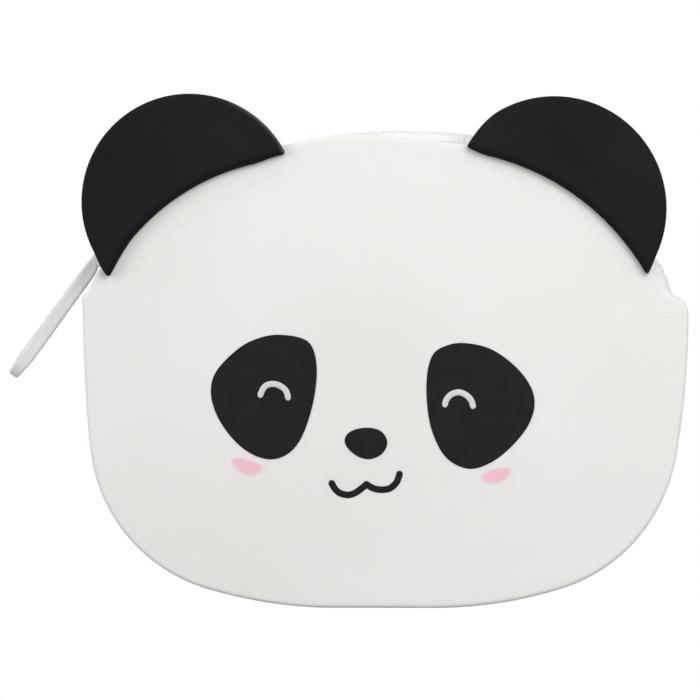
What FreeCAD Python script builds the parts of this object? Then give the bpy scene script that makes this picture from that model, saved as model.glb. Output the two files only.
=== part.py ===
import FreeCAD, Part
import Sketcher
import math
import os

Vector = FreeCAD.Vector

# Zip coin purse in silicone: X to the right, Z up, the face looks towards minus Y.
# The origin is the middle of the flat base. Lengths are in millimetres, angles in degrees.

SIZES = (
    # pouch
    ("wall", 2.0),
    ("body_depth", 24.0),
    ("edge_round", 1.2),
    ("base_half_flat", 10.0),
    ("base_radius", 84.0),
    ("corner_radius", 32.5),
    ("side_radius", 220.0),
    ("shoulder_half_width", 59.7),
    ("shoulder_height", 61.6),
    ("widest_height", 60.0),
    ("flex_gap", 0.3),
    # mouth lips: haunch arcs at both sides of a flatter crest
    ("mouth_shift", 1.7),
    ("haunch_offset", 11.3),
    ("haunch_height", 42.0),
    ("haunch_radius", 50.2),
    ("crest_radius", 120.0),
    ("lip_round", 0.7),
    # ears
    ("ear_angle", 56.56),
    ("ear_sink", 5.02),
    ("ear_radius", 21.9),
    ("ear_overlap", 1.6),
    ("ear_thickness", 2.4),
    ("ear_round", 0.8),
    # zip chain, on one arc over the mouth's crest and out to both ends of the lips
    ("zip_shift", 0.4),
    ("zip_proud", 1.38),
    ("zip_over", 0.31),
    ("zip_end_rise", 1.57),
    ("coil_height", 1.8),
    ("coil_half_width", 2.2),
    ("coil_spine", 1.1),
    ("tooth_reach", 0.5),
    ("tooth_width", 0.5),
    ("tooth_pitch", 1.2),
    ("coil_closed_back", 6.6),
    ("coil_open_back", 3.36),
    ("tape_thickness", 0.5),
    ("tape_half_gap", 1.2),
    ("tape_flange", 6.5),
    ("tape_bend", 2.0),
    ("stop_back", 3.0),
    ("stop_length", 2.28),
    # slider
    ("slider_back", 8.4),
    ("slider_length", 9.0),
    ("slider_width", 7.2),
    ("slider_plate", 1.2),
    ("slider_corner", 1.6),
    ("slider_clear", 0.35),
    ("slider_flange", 0.85),
    ("flange_drop", 1.6),
    ("neck_width", 1.6),
    ("neck_length", 1.8),
    ("neck_inset", 0.4),
    ("crown_width", 1.6),
    ("crown_span", 4.8),
    ("crown_rise", 2.6),
    ("crown_bar", 1.0),
    ("crown_round", 0.6),
    # pull tab
    ("pull_lean", 4.5),
    ("pull_clear", 2.0),
    ("pull_length", 32.3),
    ("pull_width", 7.0),
    ("pull_neck_width", 5.2),
    ("pull_neck_thickness", 1.4),
    ("pull_grip_thickness", 2.6),
    ("pull_taper_start", 5.0),
    ("pull_taper_end", 8.0),
    ("pull_eye_length", 4.7),
    ("pull_eye_width", 2.4),
    # sewing
    ("stitch_inset", 3.6),
    ("stitch_length", 2.8),
    ("stitch_pitch", 4.0),
    ("stitch_margin", 2.0),
    ("thread_width", 0.45),
    ("thread_height", 0.3),
    ("tack_drop", 3.8),
    ("tack_length", 1.2),
    ("tack_pitch", 1.8),
    ("tack_inset", 2.0),
    # printed face
    ("ink", 0.25),
    ("patch_height", 24.6),
    ("left_patch_x", 23.7),
    ("left_patch_z", 41.8),
    ("right_patch_x", 19.1),
    ("right_patch_z", 40.1),
    ("arc_radius", 2.8),
    ("stroke", 1.2),
    ("left_arc_x", 21.6),
    ("left_arc_z", 41.6),
    ("right_arc_x", 15.0),
    ("right_arc_z", 40.0),
    ("nose_half_width", 4.15),
    ("nose_half_height", 3.05),
    ("nose_end_round", 2.4),
    ("nose_x", 3.5),
    ("nose_z", 32.6),
    ("nose_tilt", 8.0),
    ("lobe_radius", 3.7),
    ("lobe_half_angle", 70.0),
    ("left_lobe_x", 6.95),
    ("left_lobe_z", 26.2),
    ("right_lobe_x", 0.55),
    ("right_lobe_z", 27.45),
    ("right_lobe_tilt", 15.3),
    ("cheek_half_width", 3.2),
    ("cheek_half_height", 1.8),
    ("cheek_end_round", 1.3),
    ("left_cheek_x", 27.2),
    ("left_cheek_z", 28.1),
    ("right_cheek_x", 22.2),
    ("right_cheek_z", 26.3),
    ("cheek_tilt", 12.0),
)

# Eye patch: three rounded corners as shares of its height (across, up, radius), for the
# patch left of the nose, and the radius of the side that follows each corner.
CORNER_SHARES = (
    (0.248, 0.289, 0.175),
    (-0.252, 0.081, 0.175),
    (0.065, -0.317, 0.183),
)
SIDE_SHARES = (0.61, 0.63, 1.016)

doc = FreeCAD.newDocument("coin_purse")
sheet = doc.addObject("Spreadsheet::Sheet", "Sizes")
for row, (alias, number) in enumerate(SIZES, start=1):
    sheet.set("A%d" % row, alias)
    sheet.set("B%d" % row, str(number))
    sheet.setAlias("B%d" % row, alias)
doc.recompute()

size = dict(SIZES)
finished = []


def value(text):
    return float(sheet.evalExpression(text))


def bind(thing, prop, text):
    thing.setExpression(prop, text)


def ray(degrees):
    return Vector(math.cos(math.radians(degrees)), math.sin(math.radians(degrees)), 0)


def heading(vector):
    return math.degrees(math.atan2(vector.y, vector.x))


def crossing(first, first_radius, second, second_radius, side):
    """One of the two points where two circles cross: side is +1 or -1."""
    span = second - first
    gap = span.Length
    along = (gap * gap + first_radius * first_radius - second_radius * second_radius) / (2 * gap)
    off = math.sqrt(max(first_radius * first_radius - along * along, 0))
    unit = span * (1 / gap)
    return first + unit * along + Vector(-unit.y, unit.x, 0) * (off * side)


class Piece:
    """One sub-part of the purse: a body with its own sketches and features."""

    def __init__(self, label, x="0", y="0", z="0", turn="0"):
        self.label = label
        self.body = doc.addObject("PartDesign::Body", label)
        self.body.Label = label
        self.planes = {item.Role: item for item in self.body.Origin.OriginFeatures}
        spot = Vector(value(x), value(y), value(z))
        spin = FreeCAD.Rotation(Vector(0, 1, 0), value(turn))
        self.body.Placement = FreeCAD.Placement(spot, spin)
        for axis, text in (("x", x), ("y", y), ("z", z)):
            if text != "0":
                bind(self.body, "Placement.Base." + axis, text)
        if turn != "0":
            bind(self.body, "Placement.Rotation.Angle", turn)
        finished.append(self)

    def pad(self, drawing, length, reverse=False, both=False):
        feature = self.body.newObject("PartDesign::Pad", self.label + "_pad")
        feature.Profile = drawing.sketch
        feature.Length = value(length)
        bind(feature, "Length", length)
        feature.Reversed = reverse
        if both:
            feature.SideType = "Symmetric"
        doc.recompute()
        return feature

    def pocket(self, drawing, length, reverse=False, both=False):
        feature = self.body.newObject("PartDesign::Pocket", self.label + "_pocket")
        feature.Profile = drawing.sketch
        feature.Length = value(length)
        bind(feature, "Length", length)
        feature.Reversed = reverse
        if both:
            feature.SideType = "Symmetric"
        doc.recompute()
        return feature

    def turned(self, drawing, angle, both=False):
        feature = self.body.newObject("PartDesign::Revolution", self.label + "_turned")
        feature.Profile = drawing.sketch
        feature.ReferenceAxis = (self.planes["Y_Axis"], [""])
        feature.Angle = value(angle)
        bind(feature, "Angle", angle)
        feature.Midplane = both
        doc.recompute()
        return feature

    def around(self, feature, axis, angle, count):
        pattern = self.body.newObject("PartDesign::PolarPattern", self.label + "_row")
        pattern.Originals = [feature]
        pattern.Axis = axis
        pattern.Angle = value(angle)
        bind(pattern, "Angle", angle)
        pattern.Occurrences = int(value(count))
        bind(pattern, "Occurrences", count)
        self.body.Tip = pattern
        doc.recompute()
        return pattern

    def fillet(self, radius, wanted):
        """Rounds the edges of the last feature for which wanted(edge) is true."""
        last = self.body.Tip
        names = []
        for number, edge in enumerate(last.Shape.Edges, start=1):
            if wanted(edge):
                names.append("Edge%d" % number)
        feature = self.body.newObject("PartDesign::Fillet", self.label + "_round")
        feature.Base = (last, names)
        feature.Radius = value(radius)
        bind(feature, "Radius", radius)
        doc.recompute()
        return feature


class Drawing:
    """A sketch on one of the piece's own planes, with its sizes bound to the sheet."""

    def __init__(self, piece, plane, x="0", y="0", depth="0", turn="0"):
        self.sketch = piece.body.newObject("Sketcher::SketchObject", piece.label + "_sketch")
        self.sketch.AttachmentSupport = [(piece.planes[plane], "")]
        self.sketch.MapMode = "FlatFace"
        spot = Vector(value(x), value(y), value(depth))
        spin = FreeCAD.Rotation(Vector(0, 0, 1), value(turn))
        self.sketch.AttachmentOffset = FreeCAD.Placement(spot, spin)
        for axis, text in (("x", x), ("y", y), ("z", depth)):
            if text != "0":
                bind(self.sketch, "AttachmentOffset.Base." + axis, text)
        if turn != "0":
            bind(self.sketch, "AttachmentOffset.Rotation.Angle", turn)

    def line(self, start, end):
        return self.sketch.addGeometry(Part.LineSegment(start, end), False)

    def arc(self, centre, radius, start, end):
        """An arc from the heading start round to the heading end, anticlockwise."""
        while end <= start:
            end += 360
        circle = Part.Circle(centre, Vector(0, 0, 1), radius)
        piece = Part.ArcOfCircle(circle, math.radians(start), math.radians(end))
        return self.sketch.addGeometry(piece, False)

    def rule(self, *what):
        return self.sketch.addConstraint(Sketcher.Constraint(*what))

    def meet(self, first, first_end, second, second_end):
        self.rule("Coincident", first, first_end, second, second_end)

    def smooth(self, first, first_end, second, second_end):
        self.rule("Tangent", first, first_end, second, second_end)

    def size(self, kind, refs, text):
        number = value(text)
        if number < 0:
            refs = refs[2:] + refs[:2]
            text = "-(" + text + ")"
        index = self.rule(kind, *refs, abs(number))
        bind(self.sketch, "Constraints[%d]" % index, text)

    def at_x(self, item, end, text):
        if abs(value(text)) == 0:
            self.rule("PointOnObject", item, end, -2)
        else:
            self.size("DistanceX", (-1, 1, item, end), text)

    def at_y(self, item, end, text):
        if abs(value(text)) == 0:
            self.rule("PointOnObject", item, end, -1)
        else:
            self.size("DistanceY", (-1, 1, item, end), text)

    def at(self, item, end, x, y):
        if abs(value(x)) == 0 and abs(value(y)) == 0:
            self.rule("Coincident", item, end, -1, 1)
        else:
            self.at_x(item, end, x)
            self.at_y(item, end, y)

    def radius(self, item, text):
        index = self.rule("Radius", item, value(text))
        bind(self.sketch, "Constraints[%d]" % index, text)

    def polygon(self, corners):
        """A closed outline of straight sides whose corners are pairs of expressions."""
        spots = [Vector(value(x), value(y), 0) for x, y in corners]
        sides = []
        for here, there in zip(spots, spots[1:] + spots[:1]):
            sides.append(self.line(here, there))
        for first, second in zip(sides, sides[1:] + sides[:1]):
            self.meet(first, 2, second, 1)
        for side, (x, y) in zip(sides, corners):
            self.at_x(side, 1, x)
            self.at_y(side, 1, y)
        doc.recompute()
        return self

    def oval(self, half_width, half_height, end_round):
        """A four-arc oval about the drawing's origin."""
        a, b, r = value(half_width), value(half_height), value(end_round)
        big = ((a - r) ** 2 + b * b - r * r) / (2 * (b - r))
        right = Vector(a - r, 0, 0)
        top = Vector(0, b - big, 0)
        turn = heading(right - top)
        items = [
            self.arc(right, r, -turn, turn),
            self.arc(top, big, turn, 180 - turn),
            self.arc(-right, r, 180 - turn, 180 + turn),
            self.arc(-top, big, 180 + turn, 360 - turn),
        ]
        for first, second in zip(items, items[1:] + items[:1]):
            self.smooth(first, 2, second, 1)
        self.radius(items[0], end_round)
        self.rule("Equal", items[0], items[2])
        self.rule("Equal", items[1], items[3])
        self.at(items[0], 3, half_width + " - " + end_round, "0")
        self.at(items[2], 3, "-(" + half_width + " - " + end_round + ")", "0")
        bulge = "(({0} - {2})^2 + {1}^2 - {2}^2) / (2 * ({1} - {2}))"
        self.radius(items[1], bulge.format(half_width, half_height, end_round))
        doc.recompute()
        return self

    def arc_slot(self, radius, stroke, start, end):
        """A bent stroke with round ends, about the drawing's origin."""
        r, half = value(radius), value(stroke) / 2
        a, b = value(start), value(end)
        here, there = Vector(0, 0, 0), Vector(0, 0, 0)
        outer = self.arc(here, r + half, a, b)
        inner = self.arc(there, r - half, a, b)
        far = self.arc(ray(b) * r, half, b, b + 180)
        near = self.arc(ray(a) * r, half, a + 180, a + 360)
        self.at(outer, 3, "0", "0")
        self.at(inner, 3, "0", "0")
        self.smooth(outer, 2, far, 1)
        self.smooth(far, 2, inner, 2)
        self.smooth(inner, 1, near, 1)
        self.smooth(near, 2, outer, 1)
        self.radius(outer, radius + " + " + stroke + " / 2")
        self.radius(inner, radius + " - " + stroke + " / 2")
        self.at_y(near, 3, radius + " * sin(" + start + ")")
        self.at_y(far, 3, radius + " * sin(" + end + ")")
        doc.recompute()
        return self

    def rounded_block(self, left, right, half_width, corner):
        """A rectangle with round corners, from left to right along X."""
        x0, x1, h, r = value(left), value(right), value(half_width), value(corner)
        items = [
            self.line(Vector(x0 + r, -h, 0), Vector(x1 - r, -h, 0)),
            self.arc(Vector(x1 - r, r - h, 0), r, -90, 0),
            self.line(Vector(x1, r - h, 0), Vector(x1, h - r, 0)),
            self.arc(Vector(x1 - r, h - r, 0), r, 0, 90),
            self.line(Vector(x1 - r, h, 0), Vector(x0 + r, h, 0)),
            self.arc(Vector(x0 + r, h - r, 0), r, 90, 180),
            self.line(Vector(x0, h - r, 0), Vector(x0, r - h, 0)),
            self.arc(Vector(x0 + r, r - h, 0), r, 180, 270),
        ]
        for first, second in zip(items, items[1:] + items[:1]):
            self.smooth(first, 2, second, 1)
        self.rule("Horizontal", items[0])
        self.rule("Vertical", items[2])
        self.rule("Horizontal", items[4])
        self.rule("Vertical", items[6])
        self.radius(items[1], corner)
        for other in (3, 5, 7):
            self.rule("Equal", items[1], items[other])
        self.at_y(items[0], 1, "-" + half_width)
        self.at_y(items[4], 1, half_width)
        self.at_x(items[2], 1, right)
        self.at_x(items[6], 1, left)
        doc.recompute()
        return self


def pouch_outline(drawing, inset, top):
    """Outline of the pouch below its flex line, drawn inset from the outside."""
    d = value(inset)
    half_flat = size["base_half_flat"]
    low = Vector(half_flat, size["base_radius"], 0)
    rise = size["shoulder_height"] - size["widest_height"]
    reach = math.sqrt(size["side_radius"] ** 2 - rise ** 2)
    side = Vector(size["shoulder_half_width"] - reach, size["widest_height"], 0)
    low_reach = size["base_radius"] - size["corner_radius"]
    side_reach = size["side_radius"] - size["corner_radius"]
    corner = crossing(low, low_reach, side, side_reach, 1)
    low_turn = heading(corner - low)
    side_turn = heading(corner - side)
    lift = value(top) - size["widest_height"]
    top_turn = math.degrees(math.asin(lift / (size["side_radius"] - d)))
    tip = side + ray(top_turn) * (size["side_radius"] - d)

    def mirrored(point):
        return Vector(-point.x, point.y, 0)

    items = [
        drawing.line(Vector(-half_flat, d, 0), Vector(half_flat, d, 0)),
        drawing.arc(low, size["base_radius"] - d, -90, low_turn),
        drawing.arc(corner, size["corner_radius"] - d, low_turn, side_turn),
        drawing.arc(side, size["side_radius"] - d, side_turn, top_turn),
        drawing.line(tip, mirrored(tip)),
        drawing.arc(mirrored(side), size["side_radius"] - d, 180 - top_turn, 180 - side_turn),
        drawing.arc(mirrored(corner), size["corner_radius"] - d, 180 - side_turn, 180 - low_turn),
        drawing.arc(mirrored(low), size["base_radius"] - d, 180 - low_turn, 270),
    ]
    for first in (0, 1, 2, 5, 6, 7):
        second = (first + 1) % len(items)
        drawing.smooth(items[first], 2, items[second], 1)
    drawing.meet(items[3], 2, items[4], 1)
    drawing.meet(items[4], 2, items[5], 1)
    drawing.radius(items[1], "Sizes.base_radius - " + inset)
    drawing.radius(items[2], "Sizes.corner_radius - " + inset)
    drawing.radius(items[3], "Sizes.side_radius - " + inset)
    for right, left in ((1, 7), (2, 6), (3, 5)):
        drawing.rule("Equal", items[right], items[left])
    drawing.rule("Symmetric", items[0], 1, items[0], 2, -2)
    drawing.at_x(items[0], 2, "Sizes.base_half_flat")
    drawing.at_y(items[0], 2, inset)
    across = "Sizes.shoulder_half_width - sqrt(Sizes.side_radius^2"
    across += " - (Sizes.shoulder_height - Sizes.widest_height)^2)"
    drawing.at_x(items[3], 3, across)
    drawing.at_y(items[3], 3, "Sizes.widest_height")
    drawing.rule("Symmetric", items[3], 3, items[5], 3, -2)
    drawing.at_y(items[3], 2, top)
    drawing.at_y(items[5], 1, top)
    doc.recompute()
    return drawing


def crest_centre():
    span = size["crest_radius"] - size["haunch_radius"]
    drop = math.sqrt(span ** 2 - size["haunch_offset"] ** 2)
    return Vector(0, size["haunch_height"] - drop, 0)


def lip_outline(drawing):
    """The mouth's arch above the flex line."""
    floor = size["shoulder_height"] + size["flex_gap"]
    right = Vector(size["haunch_offset"], size["haunch_height"], 0)
    left = Vector(-size["haunch_offset"], size["haunch_height"], 0)
    crest = crest_centre()
    turn = heading(right - crest)
    radius = size["haunch_radius"]
    start = math.degrees(math.asin((floor - right.y) / radius))
    end = right + ray(start) * radius
    items = [
        drawing.line(Vector(-end.x, end.y, 0), end),
        drawing.arc(right, radius, start, turn),
        drawing.arc(crest, size["crest_radius"], turn, 180 - turn),
        drawing.arc(left, radius, 180 - turn, 180 - start),
    ]
    drawing.meet(items[0], 2, items[1], 1)
    drawing.smooth(items[1], 2, items[2], 1)
    drawing.smooth(items[2], 2, items[3], 1)
    drawing.meet(items[3], 2, items[0], 1)
    drawing.radius(items[1], "Sizes.haunch_radius")
    drawing.rule("Equal", items[1], items[3])
    drawing.radius(items[2], "Sizes.crest_radius")
    drawing.at(items[1], 3, "Sizes.haunch_offset", "Sizes.haunch_height")
    drawing.rule("Symmetric", items[1], 3, items[3], 3, -2)
    drawing.at_y(items[0], 1, "Sizes.shoulder_height + Sizes.flex_gap")
    drawing.rule("Horizontal", items[0])
    doc.recompute()
    return drawing


def ear_outline(drawing, hand):
    """A disc cut off along the haunch: hand is -1 for the left ear, +1 for the right."""
    haunch = Vector(hand * size["haunch_offset"], size["haunch_height"], 0)
    reach = ray(size["ear_angle"]) * (size["haunch_radius"] - size["ear_sink"])
    disc = haunch + Vector(hand * reach.x, reach.y, 0)
    base_radius = size["haunch_radius"] - size["ear_overlap"]
    inner = crossing(haunch, base_radius, disc, size["ear_radius"], hand)
    outer = crossing(haunch, base_radius, disc, size["ear_radius"], -hand)
    first, last = (inner, outer) if hand < 0 else (outer, inner)
    rim = drawing.arc(disc, size["ear_radius"], heading(first - disc), heading(last - disc))
    base = drawing.arc(haunch, base_radius, heading(first - haunch), heading(last - haunch))
    drawing.meet(rim, 1, base, 1)
    drawing.meet(rim, 2, base, 2)
    sign = "-" if hand < 0 else ""
    out = "(Sizes.haunch_radius - Sizes.ear_sink)"
    across = "(Sizes.haunch_offset + " + out + " * cos(Sizes.ear_angle))"
    up = "Sizes.haunch_height + " + out + " * sin(Sizes.ear_angle)"
    drawing.at(rim, 3, sign + across, up)
    drawing.at(base, 3, sign + "Sizes.haunch_offset", "Sizes.haunch_height")
    drawing.radius(rim, "Sizes.ear_radius")
    drawing.radius(base, "Sizes.haunch_radius - Sizes.ear_overlap")
    doc.recompute()
    return drawing


def patch_outline(drawing, hand):
    """A three-cornered eye patch: hand is -1 for the left one, +1 for its mirror image."""
    tall = size["patch_height"]
    spots = []
    for across, up, rounding in CORNER_SHARES:
        spots.append((Vector(-hand * across * tall, up * tall, 0), rounding * tall))
    sides = []
    for number, share in enumerate(SIDE_SHARES):
        here, here_radius = spots[number]
        there, there_radius = spots[(number + 1) % len(spots)]
        bulge = share * tall
        side = crossing(here, bulge - here_radius, there, bulge - there_radius, -hand)
        sides.append((side, bulge))
    corners, runs = [], []
    for number, (spot, rounding) in enumerate(spots):
        before = heading(spot - sides[number - 1][0])
        after = heading(spot - sides[number][0])
        first, last = (before, after) if hand < 0 else (after, before)
        corners.append(drawing.arc(spot, rounding, first, last))
    for number, (side, bulge) in enumerate(sides):
        first = heading(spots[number][0] - side)
        last = heading(spots[(number + 1) % len(spots)][0] - side)
        if hand > 0:
            first, last = last, first
        runs.append(drawing.arc(side, bulge, first, last))
    leave, arrive = (2, 1) if hand < 0 else (1, 2)
    for number in range(len(corners)):
        drawing.smooth(corners[number], leave, runs[number], arrive)
        drawing.smooth(runs[number], leave, corners[(number + 1) % len(corners)], arrive)
    for number, (across, up, rounding) in enumerate(CORNER_SHARES):
        x = "Sizes.patch_height * (%s)" % (-hand * across)
        z = "Sizes.patch_height * (%s)" % up
        drawing.at(corners[number], 3, x, z)
        drawing.radius(corners[number], "Sizes.patch_height * %s" % rounding)
        drawing.radius(runs[number], "Sizes.patch_height * %s" % SIDE_SHARES[number])
    doc.recompute()
    return drawing


def lies_on(edge, level):
    """True for an edge that lies in the plane where Y is level."""
    box = edge.BoundBox
    slack = size["flex_gap"] / 10
    return abs(box.YMin - level) < slack and abs(box.YMax - level) < slack


FACE = "Sizes.body_depth / 2"
INSIDE = "Sizes.body_depth / 2 - Sizes.wall"
SHIFT = "-Sizes.mouth_shift"
ZIP_SHIFT = "-Sizes.zip_shift"
face = value(FACE)

# zip arc: it passes over the crest of the lips and ends just outside their feet

LIP_FOOT = "(Sizes.shoulder_height + Sizes.flex_gap - Sizes.haunch_height)"
LIP_HALF = "(Sizes.haunch_offset + sqrt(Sizes.haunch_radius^2 - " + LIP_FOOT + "^2))"
DROP = "sqrt((Sizes.crest_radius - Sizes.haunch_radius)^2 - Sizes.haunch_offset^2)"
ZIP_TOP = "(Sizes.haunch_height - " + DROP + " + Sizes.crest_radius + Sizes.zip_proud)"
ZIP_SPAN = "(" + LIP_HALF + " + Sizes.zip_over)"
ZIP_RISE = "(" + ZIP_TOP + " - Sizes.shoulder_height - Sizes.zip_end_rise)"
ZIP_RADIUS = "((" + ZIP_SPAN + "^2 + " + ZIP_RISE + "^2) / (2 * " + ZIP_RISE + "))"
ZIP_HEIGHT = "(" + ZIP_TOP + " - " + ZIP_RADIUS + ")"
END_ANGLE = "(2 * atan(" + ZIP_RISE + " / " + ZIP_SPAN + ") / (1 deg))"


def zip_angle(back):
    """Angle at the zip arc's centre of a point that lies back from the arc's end."""
    return "(" + END_ANGLE + " - " + back + " / " + ZIP_RADIUS + " * 180 / pi)"


SLIDER_ANGLE = zip_angle("Sizes.slider_back")
CLOSED_ANGLE = zip_angle("Sizes.coil_closed_back")
OPEN_ANGLE = zip_angle("Sizes.coil_open_back")
STOP_ANGLE = zip_angle("Sizes.stop_back")
STOP_TURN = "(Sizes.stop_length / " + ZIP_RADIUS + " * 180 / pi)"

# pouch halves

for label, rear in (("front_shell", False), ("rear_shell", True)):
    shell = Piece(label)
    outline = pouch_outline(Drawing(shell, "XZ_Plane"), "0", "Sizes.shoulder_height")
    shell.pad(outline, FACE, reverse=rear)
    sign = 1 if rear else -1

    def outer_edge(edge):
        straight_top = abs(edge.BoundBox.ZMin - size["shoulder_height"]) < size["flex_gap"]
        return lies_on(edge, sign * face) and not straight_top

    shell.fillet("Sizes.edge_round", outer_edge)
    hollow_top = "Sizes.shoulder_height + Sizes.wall"
    hollow = pouch_outline(Drawing(shell, "XZ_Plane"), "Sizes.wall", hollow_top)
    shell.pocket(hollow, INSIDE, reverse=not rear)

# mouth lips

for label, rear in (("front_lip", False), ("rear_lip", True)):
    lip = Piece(label, x=SHIFT)
    depth = "-(" + INSIDE + ")" if rear else INSIDE
    outline = lip_outline(Drawing(lip, "XZ_Plane", depth=depth))
    lip.pad(outline, "Sizes.wall", reverse=rear)
    sign = 1 if rear else -1

    def rim_edge(edge):
        floor = size["shoulder_height"] + size["flex_gap"]
        return lies_on(edge, sign * face) and edge.BoundBox.ZMax > floor + size["wall"]

    lip.fillet("Sizes.lip_round", rim_edge)

# ears, bonded to the front lip

for label, hand in (("left_ear", -1), ("right_ear", 1)):
    ear = Piece(label, x=SHIFT)
    outline = ear_outline(Drawing(ear, "XZ_Plane", depth=FACE), hand)
    ear.pad(outline, "Sizes.ear_thickness")
    proud = -face - size["ear_thickness"]

    def front_edge(edge):
        return lies_on(edge, proud)

    ear.fillet("Sizes.ear_round", front_edge)

# zip tapes: a flange sewn inside the lip, a bend, and a run to the coil

TAPE_TOP = ZIP_RADIUS + " - Sizes.coil_height / 2"
for label, rear in (("front_zip_tape", False), ("rear_zip_tape", True)):
    tape = Piece(label, x=ZIP_SHIFT, z=ZIP_HEIGHT)
    sign = "" if rear else "-"
    drawing = Drawing(tape, "YZ_Plane")
    thick = value("Sizes.tape_thickness")
    bend = value("Sizes.tape_bend")
    way = 1 if rear else -1
    top = value(TAPE_TOP)
    low = top - value("Sizes.tape_flange")
    gap = value("Sizes.tape_half_gap")
    wide = value(INSIDE)
    knee = Vector(way * (wide - bend), top - bend, 0)
    spots = [
        Vector(way * gap, top - thick, 0),
        Vector(way * gap, top, 0),
        Vector(way * (wide - bend), top, 0),
        Vector(way * wide, top - bend, 0),
        Vector(way * wide, low, 0),
        Vector(way * (wide - thick), low, 0),
        Vector(way * (wide - thick), top - bend, 0),
        Vector(way * (wide - bend), top - thick, 0),
    ]
    turn = (0, 90) if rear else (90, 180)
    items = [
        drawing.line(spots[0], spots[1]),
        drawing.line(spots[1], spots[2]),
        drawing.arc(knee, bend, *turn),
        drawing.line(spots[3], spots[4]),
        drawing.line(spots[4], spots[5]),
        drawing.line(spots[5], spots[6]),
        drawing.arc(knee, bend - thick, *turn),
        drawing.line(spots[7], spots[0]),
    ]
    start, end = (2, 1) if rear else (1, 2)
    drawing.meet(items[0], 2, items[1], 1)
    drawing.smooth(items[1], 2, items[2], start)
    drawing.smooth(items[2], end, items[3], 1)
    drawing.meet(items[3], 2, items[4], 1)
    drawing.meet(items[4], 2, items[5], 1)
    drawing.smooth(items[5], 2, items[6], end)
    drawing.smooth(items[6], start, items[7], 1)
    drawing.meet(items[7], 2, items[0], 1)
    drawing.meet(items[2], 3, items[6], 3)
    for upright in (0, 3, 5):
        drawing.rule("Vertical", items[upright])
    for level in (1, 4, 7):
        drawing.rule("Horizontal", items[level])
    drawing.radius(items[2], "Sizes.tape_bend")
    drawing.radius(items[6], "Sizes.tape_bend - Sizes.tape_thickness")
    drawing.at_x(items[0], 1, sign + "Sizes.tape_half_gap")
    drawing.at_y(items[0], 2, TAPE_TOP)
    drawing.at_x(items[3], 1, sign + "(" + INSIDE + ")")
    drawing.at_y(items[4], 1, TAPE_TOP + " - Sizes.tape_flange")
    doc.recompute()
    tape.turned(drawing, "2 * " + END_ANGLE, both=True)

# coil rows: a spine on the tape and teeth that mesh with the other row

COIL_TURN = CLOSED_ANGLE + " + " + OPEN_ANGLE
PITCH = "(Sizes.tooth_pitch / " + ZIP_RADIUS + " * 180 / pi)"
COUNT = "floor((" + COIL_TURN + ") / " + PITCH + ") - 1"
for label, rear in (("front_zip_coil", False), ("rear_zip_coil", True)):
    coil = Piece(label, x=ZIP_SHIFT, z=ZIP_HEIGHT, turn="-" + CLOSED_ANGLE)
    sign = "" if rear else "-"
    low = ZIP_RADIUS + " - Sizes.coil_height / 2"
    high = ZIP_RADIUS + " + Sizes.coil_height / 4"
    near = sign + "(Sizes.coil_half_width - Sizes.coil_spine)"
    far = sign + "Sizes.coil_half_width"
    spine = Drawing(coil, "YZ_Plane")
    spine.polygon(((near, low), (far, low), (far, high), (near, high)))
    coil.turned(spine, COIL_TURN)
    depth = "-Sizes.coil_half_width" if rear else "Sizes.coil_half_width"
    start = PITCH + (" * 1" if rear else " / 2")
    tooth = Drawing(coil, "XZ_Plane", depth=depth, turn="-(" + start + ")")
    half = "Sizes.tooth_width / 2"
    top = ZIP_RADIUS + " + Sizes.coil_height / 2"
    tooth.polygon((("-" + half, low), (half, low), (half, top), ("-" + half, top)))
    length = "Sizes.coil_half_width + Sizes.tooth_reach"
    bar = coil.pad(tooth, length, reverse=not rear)
    spread = PITCH + " * (" + COUNT + " - 1)"
    coil.around(bar, (coil.planes["Y_Axis"], [""]), spread, COUNT)

# zip stops, seated on the tapes past the ends of the coil

TOP_STOP = "-(" + STOP_ANGLE + " + " + STOP_TURN + ")"
STOP_GAP = "Sizes.tape_half_gap / 4"
stops = (
    ("front_top_stop", TOP_STOP, "-Sizes.coil_half_width", "-" + STOP_GAP),
    ("rear_top_stop", TOP_STOP, STOP_GAP, "Sizes.coil_half_width"),
    ("bottom_stop", STOP_ANGLE, "-Sizes.coil_half_width", "Sizes.coil_half_width"),
)
for label, turn, near, far in stops:
    stop = Piece(label, x=ZIP_SHIFT, z=ZIP_HEIGHT, turn=turn)
    high = ZIP_RADIUS + " + Sizes.coil_height / 2"
    drawing = Drawing(stop, "YZ_Plane")
    drawing.polygon(((near, TAPE_TOP), (far, TAPE_TOP), (far, high), (near, high)))
    stop.turned(drawing, STOP_TURN)

# slider: two plates joined by a neck, side flanges and a crown for the pull

slider = Piece("slider_body", x=ZIP_SHIFT, z=ZIP_HEIGHT, turn="-" + SLIDER_ANGLE)
UNDER = "(" + TAPE_TOP + " - Sizes.tape_thickness - Sizes.slider_clear)"
OVER = "(" + ZIP_RADIUS + " + Sizes.coil_height / 2 + Sizes.slider_clear)"
HALF = "Sizes.slider_length / 2"
SIDE = "Sizes.slider_width / 2"
plate = Drawing(slider, "XY_Plane", depth=UNDER)
plate.rounded_block("-" + HALF, HALF, SIDE, "Sizes.slider_corner")
slider.pad(plate, "Sizes.slider_plate", reverse=True)
neck = Drawing(slider, "XY_Plane", depth=UNDER)
neck_left = "-" + HALF + " + Sizes.neck_inset"
neck_right = neck_left + " + Sizes.neck_length"
neck.rounded_block(neck_left, neck_right, "Sizes.neck_width / 2", "Sizes.neck_width / 4")
slider.pad(neck, OVER + " - " + UNDER)
cover = Drawing(slider, "XY_Plane", depth=OVER)
cover.rounded_block("-" + HALF, HALF, SIDE, "Sizes.slider_corner")
slider.pad(cover, "Sizes.slider_plate")
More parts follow.
